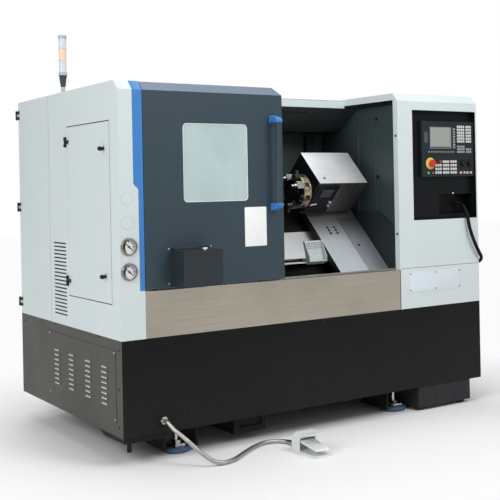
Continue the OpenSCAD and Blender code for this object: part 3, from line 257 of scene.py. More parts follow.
coatFinish = makeCoatGroup(coatLook)
brushedFinish = makeBrushGroup(brushLook)
print("finish groups built")

peelDepth, brushDepth = 0.0006, 0.0004
brushBump, filmBump = 0.05, 0.04


def newMaterial(name):
    made = bpy.data.materials.new(name)
    made.use_nodes = True
    tree = made.node_tree
    return made, tree, tree.nodes["Principled BSDF"]


def finishWith(tree, shader, group, values, bumpStrength, bumpDistance):
    used = addNode(tree, "ShaderNodeGroup", node_tree=group)
    setInputs(used, values)
    tree.links.new(used.outputs["Color"], shader.inputs["Base Color"])
    tree.links.new(used.outputs["Roughness"], shader.inputs["Roughness"])
    bump = addNode(tree, "ShaderNodeBump")
    setInputs(bump, {"Strength": bumpStrength, "Distance": bumpDistance})
    tree.links.new(used.outputs["Height"], bump.inputs["Height"])
    tree.links.new(bump.outputs[0], shader.inputs["Normal"])


def coat(name, colour, shade=0.06, rough=(0.36, 0.5), peel=420.0, bump=0.06, dust=0.0, specular=0.3):
    made, tree, shader = newMaterial(name)
    shader.inputs["Specular IOR Level"].default_value = specular
    finishWith(tree, shader, coatFinish, {
        "Color": srgb(*colour), "Shade": shade, "Peel Scale": peel, "Rough Low": rough[0], "Rough High": rough[1],
        "Dust": dust,
    }, bump, peelDepth)
    return made


def brushed(name, colour, dark, stretch, streak=0.5, blotch=0.3, blotchScale=3.0, rough=(0.22, 0.42), metallic=1.0):
    made, tree, shader = newMaterial(name)
    shader.inputs["Metallic"].default_value = metallic
    finishWith(tree, shader, brushedFinish, {
        "Color": srgb(*colour), "Dark Color": srgb(*dark), "Stretch": stretch, "Streak": streak,
        "Blotch Scale": blotchScale, "Blotch": blotch, "Rough Low": rough[0], "Rough High": rough[1],
    }, brushBump, brushDepth)
    return made


paint = {
    "white": coat("whitePowder", (205, 215, 215), 0.07, (0.34, 0.48)),
    "blue": coat("bluePowder", (61, 125, 192), 0.10, (0.3, 0.42)),
    "slate": coat("slatePowder", (51, 66, 76), 0.14, (0.36, 0.5), 520.0, 0.1),
    # painted highlight: a lighter copy of the slate for the door's chamfer that faces up towards the light
    "slateChamferHighlight": coat("slateHighlightPowder", (104, 118, 138), 0.1, (0.34, 0.46), 520.0, 0.08),
    "toolBox": coat("toolBoxPowder", (38, 47, 51), 0.16, (0.36, 0.5), 520.0, 0.1),
    "skirt": coat("blackWrinkle", (16, 18, 17), 0.2, (0.44, 0.6), 650.0, 0.2, dust=0.06, specular=0.14),
    # painted reflection: the black wrinkle paint lightened to warm grey for the left side, as if it mirrored a bright
    # wall
    "skirtSideReflection": coat("blackWrinkleReflection", (72, 71, 67), 0.2, (0.42, 0.58), 650.0, 0.2, dust=0.04),
    # painted highlight where the louvres' lips catch the light
    "louvreLipHighlight": coat("louvreLipHighlight", (214, 215, 210), 0.2, (0.3, 0.44), 500.0, 0.08),
    "liner": coat("linerGreen", (47, 56, 56), 0.25, (0.34, 0.55), 380.0, 0.08),
    # painted light: lighter copies of the liner paint for the back wall and for the upper right wall
    "linerBackLit": coat("linerBackLitGreen", (74, 86, 86), 0.25, (0.34, 0.55), 380.0, 0.08),
    "linerLitRight": coat("linerLitRightGreen", (62, 75, 77), 0.2, (0.34, 0.5), 380.0, 0.08),
    # painted shade: near black for faces down in the shaded chip trough and under the way cover
    "troughShade": coat("paintedShadeBlack", (15, 17, 17), 0.3, (0.36, 0.6), 380.0, 0.1, specular=0.16),
    # painted shade: dark brown-grey where shadow falls beside and under the saddle's plate and the turret
    "plateSideShade": coat("paintedShadeBrown", (38, 36, 33), 0.3, (0.3, 0.5), 380.0, 0.1, specular=0.2),
    "iron": coat("castingPaint", (86, 96, 96), 0.3, (0.45, 0.65), 160.0, 0.3),
    "recess": coat("recessBlack", (13, 15, 18), 0.15, (0.36, 0.5), 600.0, 0.08, specular=0.16),
    "housing": coat("controlHousing", (33, 41, 44), 0.12, (0.4, 0.54), 700.0, 0.12, specular=0.2),
    "blackPart": coat("mouldedBlack", (26, 27, 28), 0.15, (0.32, 0.5), 700.0, 0.1),
    "tank": coat("tankSlate", (30, 33, 39), 0.2, (0.42, 0.58), 520.0, 0.15, dust=0.1, specular=0.16),
    "pad": coat("padBlue", (40, 88, 122), 0.35, (0.36, 0.6), 300.0, 0.25, dust=0.3),
    "pedal": coat("pedalEnamel", (228, 233, 232), 0.16, (0.3, 0.45), 300.0, 0.1, dust=0.12),
    "tray": coat("trayEnamel", (196, 204, 204), 0.2, (0.35, 0.5), 300.0, 0.1),
    "red": coat("signalRed", (204, 44, 34), 0.1, (0.22, 0.34), 700.0, 0.04),
    "yellow": coat("collarYellow", (226, 204, 92), 0.1, (0.3, 0.42), 700.0, 0.05),
    "plate": coat("blankPlate", (236, 238, 236), 0.05, (0.3, 0.42), 500.0, 0.03),
    "screen": coat("screenGreyGreen", (150, 156, 149), 0.12, (0.1, 0.2), 60.0, 0.01),
    "screenFrame": coat("screenFrame", (120, 126, 120), 0.1, (0.2, 0.3), 400.0, 0.03),
    "bead": coat("filmBead", (222, 230, 228), 0.05, (0.25, 0.35), 500.0, 0.03),
    # painted highlight along the folds of the right inner wall
    "foldHighlight": coat("foldHighlight", (104, 116, 118), 0.1, (0.3, 0.42), 380.0, 0.05),
    "plateCool": coat("screwedPlate", (210, 219, 226), 0.06, (0.24, 0.36), 500.0, 0.03),
    # painted shade: the column's white, a little greyer, for the pressed knock-out rings
    "pressed": coat("pressedRingShade", (192, 200, 200), 0.06, (0.36, 0.5), 420.0, 0.05),
    "dial": coat("dialCard", (232, 233, 228), 0.05, (0.4, 0.5), 900.0, 0.02),
    "cable": coat("cableBlack", (13, 13, 14), 0.2, (0.45, 0.6), 500.0, 0.1, specular=0.14),
    "seam": coat("sheetSeam", (128, 134, 134), 0.1, (0.4, 0.5), 420.0, 0.05),
    "rubber": coat("blackRubber", (24, 24, 25), 0.2, (0.55, 0.72), 500.0, 0.2),
    "cabinet": coat("cabinetZinc", (150, 156, 158), 0.2, (0.35, 0.5), 300.0, 0.1),
    "motor": coat("motorEnamel", (60, 68, 72), 0.25, (0.4, 0.55), 300.0, 0.15),
    "towerBase": coat("towerBase", (64, 66, 68), 0.15, (0.2, 0.34), 500.0, 0.05),
    "towerGrey": coat("towerGrey", (176, 180, 182), 0.1, (0.3, 0.42), 500.0, 0.05),
    "lensBlue": coat("lensPaleBlue", (206, 214, 226), 0.1, (0.12, 0.2), 300.0, 0.03),
    "lensPeach": coat("lensPeach", (240, 204, 184), 0.12, (0.12, 0.2), 300.0, 0.03),
}
keyColours = {
    "keyWhite": (206, 206, 202), "keyGrey": (146, 152, 152), "keyDark": (74, 78, 86), "keyRed": (190, 62, 54),
    "keyGreen": (88, 176, 132), "keyCream": (232, 222, 164), "keySoft": (150, 151, 148),
}
for name, colour in keyColours.items():
    paint[name] = coat(name, colour, 0.1, (0.4, 0.5), 900.0, 0.04)
metal = {
    "apron": brushed("apronStainless", (178, 172, 159), (136, 130, 117), (0.5, 80, 80), 0.25, 0.4, 2.2, (0.24, 0.4)),
    "plateUp": brushed("saddlePlateSteel", (218, 224, 232), (158, 163, 170), (60, 1.2, 1.2), 0.4, 0.3, 3.0,
                       (0.34, 0.5), 0.25),
    "plateFar": brushed("plateFarSteel", (178, 184, 194), (128, 133, 142), (60, 1.2, 1.2), 0.4, 0.3, 3.0,
                        (0.34, 0.5), 0.25),
    # painted highlight: a near-white copy of the turret's steel for its faces that look up
    "turretTopHighlight": brushed("turretTopHighlightSteel", (246, 249, 251), (188, 191, 194), (1.2, 50, 50), 0.35, 0.3, 4.0,
                         (0.3, 0.46), 0.4),
    "bronze": brushed("turretFrontSteel", (188, 184, 176), (114, 111, 105), (40, 1.2, 1.2), 0.5, 0.4, 4.0, (0.3, 0.5)),
    "bright": brushed("brightSteel", (214, 213, 210), (150, 150, 148), (30, 30, 30), 0.4, 0.3, 20.0, (0.16, 0.32)),
    "ground": brushed("groundSteel", (188, 187, 184), (118, 117, 115), (4, 50, 50), 0.5, 0.3, 6.0, (0.22, 0.4)),
    "jaw": brushed("jawSteel", (226, 226, 223), (170, 169, 166), (4, 50, 50), 0.4, 0.3, 10.0, (0.24, 0.42), 0.3),
    "dark": brushed("darkToolSteel", (96, 95, 92), (48, 47, 45), (20, 20, 20), 0.5, 0.5, 14.0, (0.28, 0.5)),
    "bezel": brushed("gaugeBezelSteel", (150, 150, 148), (86, 86, 86), (30, 30, 30), 0.4, 0.4, 30.0, (0.2, 0.36)),
    "brass": brushed("brassFittings", (214, 200, 164), (92, 82, 62), (30, 30, 30), 0.5, 0.8, 26.0, (0.24, 0.42), 0.7),
    "cover": brushed("wayCoverSteel", (246, 248, 251), (214, 216, 219), (0.8, 30, 30), 0.3, 0.3, 3.0,
                     (0.34, 0.5), 0.1),
    "conduit": brushed("conduitSteel", (190, 190, 184), (126, 127, 121), (12, 12, 12), 0.4, 0.4, 20.0, (0.26, 0.42)),
}


def makeFilm():
    made, tree, shader = newMaterial("windowFilm")
    finishWith(tree, shader, brushedFinish, {
        "Color": srgb(180, 198, 198), "Dark Color": srgb(158, 176, 176), "Stretch": (40, 40, 1.4), "Streak": 0.35,
        "Blotch Scale": 5.0, "Blotch": 0.5, "Rough Low": 0.16, "Rough High": 0.3,
    }, filmBump, brushDepth)
    shader.inputs["Coat Weight"].default_value = 0.4
    return made


def makeGlass():
    made, _, shader = newMaterial("gaugeGlass")
    setInputs(shader, {"Base Color": (1, 1, 1, 1), "Transmission Weight": 1.0, "Roughness": 0.02, "IOR": 1.2})
    return made


windowFilm = makeFilm()
gaugeGlass = makeGlass()


def layOver(material, mask, colour):
    tree = material.node_tree
    base = tree.nodes["Principled BSDF"].inputs["Base Color"]
    tree.links.new(mixColours(tree, mask, base.links[0].from_socket, colour), base)


# painted shade: the turret's shadow darkening the saddle's plate towards its upper end, over heights in metres
plateTurretShade = {"band": (0.93, 1.04), "amount": 0.8, "colour": srgb(44, 44, 44)}
# painted highlight on the louvres' lips, in metres: bright along the lower edges only and darker above, by shares of
# the pitch
lipHighlightRows = {"foot": 0.257, "pitch": 0.024, "fade": (0.1, 0.26), "colour": srgb(96, 95, 91)}


def addPaintedShade(material, shadeBand):
    tree = material.node_tree
    layOver(material, spread(tree, heightOf(tree, objectPoint(tree)), shadeBand["band"], 0.0, shadeBand["amount"]),
            shadeBand["colour"])


def fadeLipHighlights(material, rows):
    tree = material.node_tree
    height = mathNode(tree, "SUBTRACT", heightOf(tree, objectPoint(tree)), rows["foot"])
    row = mathNode(tree, "FRACT", mathNode(tree, "DIVIDE", height, rows["pitch"]))
    layOver(material, spread(tree, row, rows["fade"]), rows["colour"])


# lay the turret's painted shade over both copies of the plate's steel
for name in ("plateUp", "plateFar"):
    addPaintedShade(metal[name], plateTurretShade)
fadeLipHighlights(paint["louvreLipHighlight"], lipHighlightRows)
print("materials:", len(paint) + len(metal))


# what each CAD node is painted with

plainFinish = [
    (paint["white"], ("side_panel_left", "outer_panels", "column_left", "column_right")),
    (paint["blue"], ("stripe_trim",)),
    (paint["slate"], ("headstock_cover",)),
    (paint["skirt"], ("base_casting",)),
    (paint["recess"], ("control_recess",)),
    (paint["red"], ("estop_button",)),
    (paint["blackPart"], ("override_knob_left", "override_knob_right", "gauge_cases", "gauge_needle_upper",
                          "gauge_needle_lower", "cabinet_handle", "door_hinges")),
    (paint["cabinet"], ("electrics",)),
    (paint["iron"], ("headstock", "chuck_cylinder", "saddle")),
    (paint["motor"], ("drive_motors",)),
    (paint["rubber"], ("drive_belt",)),
    (paint["pedal"], ("pedal_base", "pedal_treadle")),
    (metal["apron"], ("apron",)),
    (metal["ground"], ("door_rails", "spindle", "chuck_body", "motor_pulley", "z_screw")),
    (metal["jaw"], ("chuck_jaw_1", "chuck_jaw_2", "chuck_jaw_3")),
    (windowFilm, ("door_window",)),
]


def dress(name, material):
    mesh = nodes[name].data
    mesh.materials.clear()
    mesh.materials.append(material)


# rules are (material, test) and the first test that holds for a face's middle and normal wins
def dressByFace(name, material, rules):
    mesh = nodes[name].data
    dress(name, material)
    for extra, _ in rules:
        mesh.materials.append(extra)
    for face in mesh.polygons:
        x, y, z = millimetres(face.center)
        face.material_index = 0
        for index, (_, test) in enumerate(rules):
            if test(x, y, z, face.normal):
                face.material_index = index + 1
                break


for material, names in plainFinish:
    for name in names:
        dress(name, material)

facing = 0.9  # a normal's share along an axis, above which the face counts as facing that way
control = {
    "x": 1826, "y": 10, "z": 1276, "panel": 119, "display": 188, "keyRise": 0.2,
    "stop": (1888, 1349), "collar": 34, "knobs": (2134, 2188), "knobReach": 24, "knobFoot": 1322,
}
panelTop = control["z"] + control["panel"]
displayTop = panelTop + control["display"]
padTop = 26.2
handleBar = {"x": 829, "y": -48, "radius": 16, "from": 1160, "to": 1549}


def isKey(y):
    return y < control["y"] - control["keyRise"]


def keyTest(left, right, low, high, top):
    def test(x, y, z, normal):
        across, down = x - control["x"], top - z
        return isKey(y) and left < across < right and low < down < high
    return test


def isCollar(x, y, z, n):
    return isKey(y) and math.hypot(x - control["stop"][0], z - control["stop"][1]) < control["collar"]


def isKnobSeat(x, y, z, n):
    return isKey(y) and min(abs(x - at) for at in control["knobs"]) < control["knobReach"] and z > control["knobFoot"]


def isHandleBar(x, y, z, n):
    near = math.hypot(x - handleBar["x"], y - handleBar["y"]) < handleBar["radius"]
    return near and handleBar["from"] < z < handleBar["to"] and abs(n[2]) < 0.1


def heightBand(low, high):
    return lambda x, y, z, n: low < z < high


dressByFace("display_unit", paint["housing"], [
    (paint["keyCream"], keyTest(380, 396, 110, 135, displayTop)),
    (paint["keyGrey"], keyTest(265, 400, 128, 200, displayTop)),
    (paint["keyWhite"], keyTest(265, 400, 10, 128, displayTop)),
    (paint["keySoft"], keyTest(47, 262, 30, 190, displayTop)),
    (paint["keyDark"], keyTest(10, 47, 50, 130, displayTop)),
])
dressByFace("machine_panel", paint["housing"], [
    (paint["yellow"], isCollar),
    (paint["blackPart"], isKnobSeat),
    (paint["keyGreen"], keyTest(36, 58, 88, 110, panelTop)),
    (paint["keyRed"], keyTest(70, 92, 88, 110, panelTop)),
    (paint["keyRed"], keyTest(130, 148, 26, 46, panelTop)),
    (paint["keyRed"], keyTest(302, 316, 88, 110, panelTop)),
    (paint["keyRed"], keyTest(354, 368, 88, 110, panelTop)),
    (paint["keyWhite"], lambda x, y, z, n: isKey(y)),
])
# the skirt's left faces get the warm grey painted reflection
dressByFace("skirt_panels", paint["skirt"], [
    (paint["skirtSideReflection"], lambda x, y, z, n: n[0] < -facing and x < 1),
])
# the louvre panel takes the painted reflection, with a painted highlight on its lips
dressByFace("louvre_panel", paint["skirtSideReflection"], [
    (paint["louvreLipHighlight"], lambda x, y, z, n: n[0] < -0.2 and n[2] > 0.1),
])
dressByFace("levelling_feet", paint["pad"], [
    (metal["bright"], lambda x, y, z, n: z > padTop),
])
dressByFace("signal_tower", paint["towerGrey"], [
    (paint["towerBase"], heightBand(1770, 1830)),
    (paint["lensBlue"], heightBand(1846, 1905)),
    (paint["lensPeach"], heightBand(1907, 1966)),
    (paint["lensBlue"], heightBand(1968, 2018)),
])
dressByFace("door_handle", paint["blue"], [
    (paint["slate"], isHandleBar),
])
dressByFace("side_door", paint["white"], [
    (paint["blackPart"], lambda x, y, z, n: x < -0.5),
])
dressByFace("cabinet_door", paint["white"], [
    (paint["blackPart"], lambda x, y, z, n: y > 1285.5 and x < 40),
])
# the upward-facing chamfer of the door takes the lighter slate as a painted highlight
dressByFace("door_panel", paint["slate"], [
    (paint["slateChamferHighlight"], lambda x, y, z, n: n[1] < -0.5 and n[2] > 0.5),
])
dressByFace("tool_box", paint["toolBox"], [
    (paint["slate"], lambda x, y, z, n: y > -2.5),
])
dressByFace("tool_box_lid", paint["toolBox"], [
    (paint["plate"], lambda x, y, z, n: z > 957 and y < -80),
])
dressByFace("coolant_tank", paint["tank"], [
    (paint["skirt"], lambda x, y, z, n: x < 400),
])

turret = {
    "up": 180, "cover": 119.5, "coverX": (1340, 1491), "coverBack": 128, "panelX": (1378, 1458), "panelOut": (12, 68),
    "stripX": (1466, 1486), "topFrom": 105, "discX": (1252, 1303), "rim": 88,
}
turretAxis = (spindle[0] + turret["up"] * slope, spindle[1] + turret["up"] * slope)


def within(value, band):
    return band[0] < value < band[1]


# the front cover of the turret's housing: a dark panel, a bright strip and a black surround
def isCoverPanel(x, y, z, n):
    onFace = upBed(y, z) < turret["cover"]
    return within(x, turret["panelX"]) and onFace and within(outOfBed(y, z), turret["panelOut"])


def isCoverStrip(x, y, z, n):
    return within(x, turret["stripX"]) and (n[1] + n[2]) * slope < 0.5 and upBed(y, z) < turret["cover"]


def isCover(x, y, z, n):
    return within(x, turret["coverX"]) and upBed(y, z) < turret["coverBack"]


def isDiscRim(x, y, z, n):
    reach = math.hypot(y - turretAxis[0], z - turretAxis[1])
    return within(x, turret["discX"]) and abs(n[0]) < 0.2 and reach > turret["rim"]


dressByFace("turret_housing", metal["bronze"], [
    # painted highlight on the housing's upward faces
    (metal["turretTopHighlight"], lambda x, y, z, n: outward(n) > facing and outOfBed(y, z) > turret["topFrom"]),
    (paint["keyDark"], isCoverPanel),
    (metal["jaw"], isCoverStrip),
    (paint["blackPart"], isCover),
    (paint["blackPart"], lambda x, y, z, n: n[0] < -facing),
])
dressByFace("turret_disc", metal["dark"], [
    (metal["brass"], isDiscRim),
])
# painted highlight: the holders' faces that look up, above the axis, take the bright steel
dressByFace("tool_holders", metal["dark"], [
    (metal["bright"], lambda x, y, z, n: outward(n) > facing and z > turretAxis[1]),
])
dressByFace("cord_glands", metal["bright"], [
    (paint["blackPart"], lambda x, y, z, n: x > 2000),
])
dressByFace("saddle_cover", metal["plateUp"], [
    # painted shade on the plate's left fold
    (paint["plateSideShade"], lambda x, y, z, n: n[0] < -facing),
    (metal["plateFar"], lambda x, y, z, n: x > 1585 and outOfBed(y, z) > -154),
])
# painted shade: the bed's faces out of the bed, and the way cover's low part and end faces, go near black
dressByFace("slant_bed", paint["iron"], [
    (paint["troughShade"], lambda x, y, z, n: outward(n) > facing),
])
dressByFace("way_cover", metal["cover"], [
    (paint["troughShade"], lambda x, y, z, n: z < 790 or abs(n[1] + n[2]) > facing),
])
dressByFace("catcher_tray", paint["tray"], [
    (paint["blackPart"], lambda x, y, z, n: x < 1149),
])
dressByFace("interior_liners", paint["liner"], [
    # painted shade on the liner faces that look out of the bed
    (paint["plateSideShade"], lambda x, y, z, n: outward(n) > facing and x < 1735),
    # painted light on the back wall and the upper right wall
    (paint["linerBackLit"], lambda x, y, z, n: y > 780 and n[1] < -facing),
    (paint["linerLitRight"], lambda x, y, z, n: x > 1729 and n[0] < -facing and z > 1086),
])
print("nodes painted")

# rounded folds and edges, in millimetres
edgeRound = {
    "side_panel_left": 1.2, "column_left": 1.5, "column_right": 1.5, "apron": 1.5, "stripe_trim": 1.2,
    "skirt_panels": 2.0, "door_panel": 1.5, "door_handle": 2.5, "tool_box": 1.2, "tool_box_lid": 0.8,
    "outer_panels": 1.4, "headstock_cover": 1.4, "control_recess": 1.2, "display_unit": 0.5, "machine_panel": 0.5,
    "base_casting": 3.0, "coolant_tank": 2.0, "pedal_base": 1.5, "pedal_treadle": 1.0, "saddle_cover": 0.8,
    "way_cover": 0.6, "turret_housing": 2.0, "turret_disc": 1.5, "tool_holders": 0.8, "catcher_tray": 1.0,
    "side_door": 0.8, "cabinet_door": 1.0, "cabinet_handle": 1.5, "chuck_body": 1.0, "levelling_feet": 1.2,
    "estop_button": 0.8, "override_knob_left": 0.4, "override_knob_right": 0.4, "door_hinges": 0.5,
    "louvre_panel": 0.4,
}
# merging flat faces would close the openings of keepFaces
rounding = {"weld": 0.00002, "flat": 2, "sharp": 35, "segments": 2, "keepFaces": ("skirt_panels", "louvre_panel")}


def roundEdges(name, width, spec):
    obj = nodes[name]
    obj.modifiers.new("weld", "WELD").merge_threshold = spec["weld"]
    if name not in spec["keepFaces"]:
        flat = obj.modifiers.new("flat", "DECIMATE")
        flat.decimate_type = "DISSOLVE"
        flat.angle_limit = math.radians(spec["flat"])
        flat.delimit = {"MATERIAL"}
    bevel = obj.modifiers.new("round", "BEVEL")
    bevel.width = width / 1000
    bevel.segments = spec["segments"]
    bevel.limit_method = "ANGLE"
    bevel.angle_limit = math.radians(spec["sharp"])
    bevel.harden_normals = True


for name, width in edgeRound.items():
    roundEdges(name, width, rounding)
print("edges rounded:", len(edgeRound))


# new pieces

def keepPiece(name, bm, materials, body, smooth=True):
    bmesh.ops.recalc_face_normals(bm, faces=bm.faces[:])
    mesh = bpy.data.meshes.new(name)
    bm.to_mesh(mesh)
    bm.free()
    for material in materials:
        mesh.materials.append(material)
    for face in mesh.polygons:
        face.use_smooth = smooth
    obj = bpy.data.objects.new(name, mesh)
    scene.collection.objects.link(obj)
    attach(obj, body)
    return obj


def newFaces(bm, before, index):
    for face in bm.faces:
        if face not in before:
            face.material_index = index


mergeGap = 1e-6


# a profile of radius and height in millimetres, turned about an axis
def turnProfile(bm, centre, axis, profile, index, steps):
    before = set(bm.faces)
    axis = Vector(axis).normalized()
    across = axis.orthogonal().normalized()
    verts = [bm.verts.new(centre + (across * r + axis * h) / 1000) for r, h in profile]
    edges = [bm.edges.new(pair) for pair in zip(verts, verts[1:])]
    bmesh.ops.spin(bm, geom=verts + edges, cent=centre, axis=axis, angle=2 * math.pi, steps=steps, use_merge=True)
    bmesh.ops.remove_doubles(bm, verts=bm.verts[:], dist=mergeGap)
    newFaces(bm, before, index)


# the corners of a rounded box in turn: their middles, and directions round each
def cornerWalk(box, corner, steps):
    x0, z0, x1, z1 = box
    left, right, low, high = x0 + corner, x1 - corner, z0 + corner, z1 - corner
    for x, z, start in ((right, high, 0), (left, high, 90), (left, low, 180), (right, low, 270)):
        for k in range(steps + 1):
            a = math.radians(start + k * 90 / steps)
            yield x, z, math.cos(a), math.sin(a)


plateSteps = 4


# a plate facing the front with rounded corners and a rounded front edge
def frontPlate(bm, box, back, front, corner, edge, index=0):
    before = set(bm.faces)
    ring = [bm.verts.new(place(x + corner * across, back, z + corner * up))
            for x, z, across, up in cornerWalk(box, corner, plateSteps)]
    base = bm.faces.new(ring)
    made = bmesh.ops.extrude_face_region(bm, geom=[base], use_keep_orig=True)["geom"]
    raised = [g for g in made if isinstance(g, bmesh.types.BMVert)]
    bmesh.ops.translate(bm, verts=raised, vec=(0, (front - back) / 1000, 0))
    rim = [g for g in made if isinstance(g, bmesh.types.BMEdge)]
    bmesh.ops.bevel(bm, geom=rim, offset=edge / 1000, offset_type="OFFSET", segments=2, profile=0.5,
                    affect="EDGES", material=-1)
    newFaces(bm, before, index)


# a straight bar between two points, with its width across and its height along up
def addBar(bm, start, end, up, width, height, edge, index=0):
    before = set(bm.faces)
    along = end - start
    up = Vector(up).normalized()
    across = up.cross(along).normalized()
    turn = Matrix((along, across * width / 1000, up * height / 1000)).transposed().to_4x4()
    verts = bmesh.ops.create_cube(bm, size=1.0, matrix=Matrix.Translation((start + end) / 2) @ turn)["verts"]
    edges = list({e for v in verts for e in v.link_edges})
    bmesh.ops.bevel(bm, geom=edges, offset=edge / 1000, offset_type="OFFSET", segments=1, profile=0.5,
                    affect="EDGES", material=-1)
    newFaces(bm, before, index)


# pan head with a recess for the key, seated on a surface, in shares of its radius and height
screwShape = [(0, 0.35), (0.4, 0.35), (0.45, 1), (0.72, 1), (1, 0.55)]
screwSunk, screwSteps = 0.5, 16


def addScrew(bm, centre, axis, radius, height, index=0):
    profile = [(radius * r, height * h) for r, h in screwShape] + [(radius, -screwSunk)]
    turnProfile(bm, centre, axis, profile, index, screwSteps)


gauges = {
    "x": 45, "heights": (871, 983), "face": 2, "rim": -9, "ticks": 31, "sweep": 270, "lift": 0.5,
    "card": [(0, 0.3), (30.8, 0.3), (31.8, -0.2)],
    "bezel": [(31.6, -2.6), (32.2, 0.2), (34, 0.9), (36.6, 0.9), (37.6, 0.2), (40.3, -8.5)],
    "glass": [(0, -1.2), (20, -1.4), (31.5, -2.2), (31.5, -3.4), (0, -3.0)],
    "longTick": {"from": 17, "width": 2.6, "every": 5}, "shortTick": {"from": 20, "width": 1.3},
    "tickEnd": 26.5, "tickHeight": 0.4, "tickEdge": 0.05, "dialSteps": 32, "rimSteps": 40,
}


def addGauges(spec):
    card, rims, glass = bmesh.new(), bmesh.new(), bmesh.new()
    for z in spec["heights"]:
        face = place(spec["x"], spec["face"], z)
        rim = place(spec["x"], spec["rim"], z)
        turnProfile(card, face, toFront, spec["card"], 0, spec["dialSteps"])
        for k in range(spec["ticks"]):
            a = math.radians(-spec["sweep"] / 2 + k * spec["sweep"] / (spec["ticks"] - 1))
            out = Vector((math.sin(a), 0, math.cos(a))) / 1000
            tick = spec["shortTick"] if k % spec["longTick"]["every"] else spec["longTick"]
            lift = Vector((0, -spec["lift"] / 1000, 0))
            addBar(card, face + out * tick["from"] + lift, face + out * spec["tickEnd"] + lift, toFront,
                   tick["width"], spec["tickHeight"], spec["tickEdge"], 1)
        turnProfile(rims, rim, toFront, spec["bezel"], 0, spec["rimSteps"])
        turnProfile(glass, rim, toFront, spec["glass"], 0, spec["rimSteps"])
    keepPiece("gaugeDials", card, [paint["dial"], paint["blackPart"]], "frame", False)
    keepPiece("gaugeBezels", rims, [metal["bezel"]], "frame")
    keepPiece("gaugeGlasses", glass, [gaugeGlass], "frame")


# knock-out rings for two more gauges, pressed in the column's sheet, painted a little greyer than the sheet as the
# shade of the pressing
knockOuts = {
    "x": 40, "heights": (1091, 1198), "profile": [(28, -0.3), (28.5, 0.6), (30.5, 0.6), (31, -0.3)], "steps": 40,
}


def addKnockOuts(spec):
    bm = bmesh.new()
    for z in spec["heights"]:
        turnProfile(bm, place(spec["x"], 0, z), toFront, spec["profile"], 0, spec["steps"])
    keepPiece("columnKnockOuts", bm, [paint["pressed"]], "frame")


screen = {
    "box": (1889, 1431, 2052, 1552), "back": 11.6, "front": 10.6, "lit": (1894, 1443, 2039, 1547), "step": 10.4,
    "sideKeys": {"count": 8, "first": 8, "pitch": 13, "across": (2, 10), "half": 4}, "footBar": (9, 3),
    "paneRound": (2.0, 0.3), "litRound": (1.5, 0.1), "keyRound": (1.0, 0.1),
}


def addScreen(spec):
    bm = bmesh.new()
    x0, z0, x1, z1 = spec["lit"]
    keys = spec["sideKeys"]
    left, right = (x1 + reach for reach in keys["across"])
    layer = spec["front"], spec["step"]
    frontPlate(bm, spec["box"], spec["back"], spec["front"], *spec["paneRound"], 1)
    frontPlate(bm, spec["lit"], *layer, *spec["litRound"], 0)
    for k in range(keys["count"]):
        z = z1 - keys["first"] - k * keys["pitch"]
        frontPlate(bm, (left, z - keys["half"], right, z + keys["half"]), *layer, *spec["keyRound"], 0)
    low, high = (z0 - drop for drop in spec["footBar"])
    frontPlate(bm, (x0, low, x1, high), *layer, *spec["keyRound"], 2)
    finishes = [paint["screen"], paint["screenFrame"], paint["keyDark"]]
    keepPiece("screenPane", bm, finishes, "frame", False)


# bare plates: one on the door, one screwed to the right column
plates = {
    "doorPlate": {"box": (660, 953, 785, 1142), "out": 1.2, "corner": 3, "body": "door", "paint": paint["plate"],
                  "screwX": (), "screwZ": ()},
    "columnPlate": {"box": (1706, 652, 2092, 761), "out": 2.0, "corner": 4, "body": "frame",
                    "paint": paint["plateCool"], "screwX": (1716, 1899, 2082), "screwZ": (662, 751)},
}
plateMake = {"sunk": 0.3, "edge": 0.6, "screw": (4.2, 2.4)}


def addPlate(name, spec, make):
    bm = bmesh.new()
    frontPlate(bm, spec["box"], make["sunk"], -spec["out"], spec["corner"], make["edge"])
    for z in spec["screwZ"]:
        for x in spec["screwX"]:
            addScrew(bm, place(x, -spec["out"], z), toFront, *make["screw"], 1)
    keepPiece(name, bm, [spec["paint"], metal["dark"]], spec["body"])


# a pale bead where the film meets the door's cut-out: its section is out from the corner, and back
windowBead = {
    "box": (329, 1174, 682, 1540), "corner": 20, "steps": 8,
    "section": ((-3.0, 1.8), (-3.0, -0.3), (-1.5, -0.9), (0, -0.3), (0.2, 0.2)),
}


def addBead(spec):
    bm = bmesh.new()
    rows = []
    for x, z, across, up in cornerWalk(spec["box"], spec["corner"], spec["steps"]):
        at, out = place(x, 0, z), Vector((across, 0, up))
        rows.append([bm.verts.new(at + out * (spec["corner"] + r) / 1000 + Vector((0, y / 1000, 0)))
                     for r, y in spec["section"]])
    for a, b in zip(rows, rows[1:] + rows[:1]):
        for k in range(len(a) - 1):
            bm.faces.new((a[k], a[k + 1], b[k + 1], b[k]))
    keepPiece("windowBead", bm, [paint["bead"]], "door")


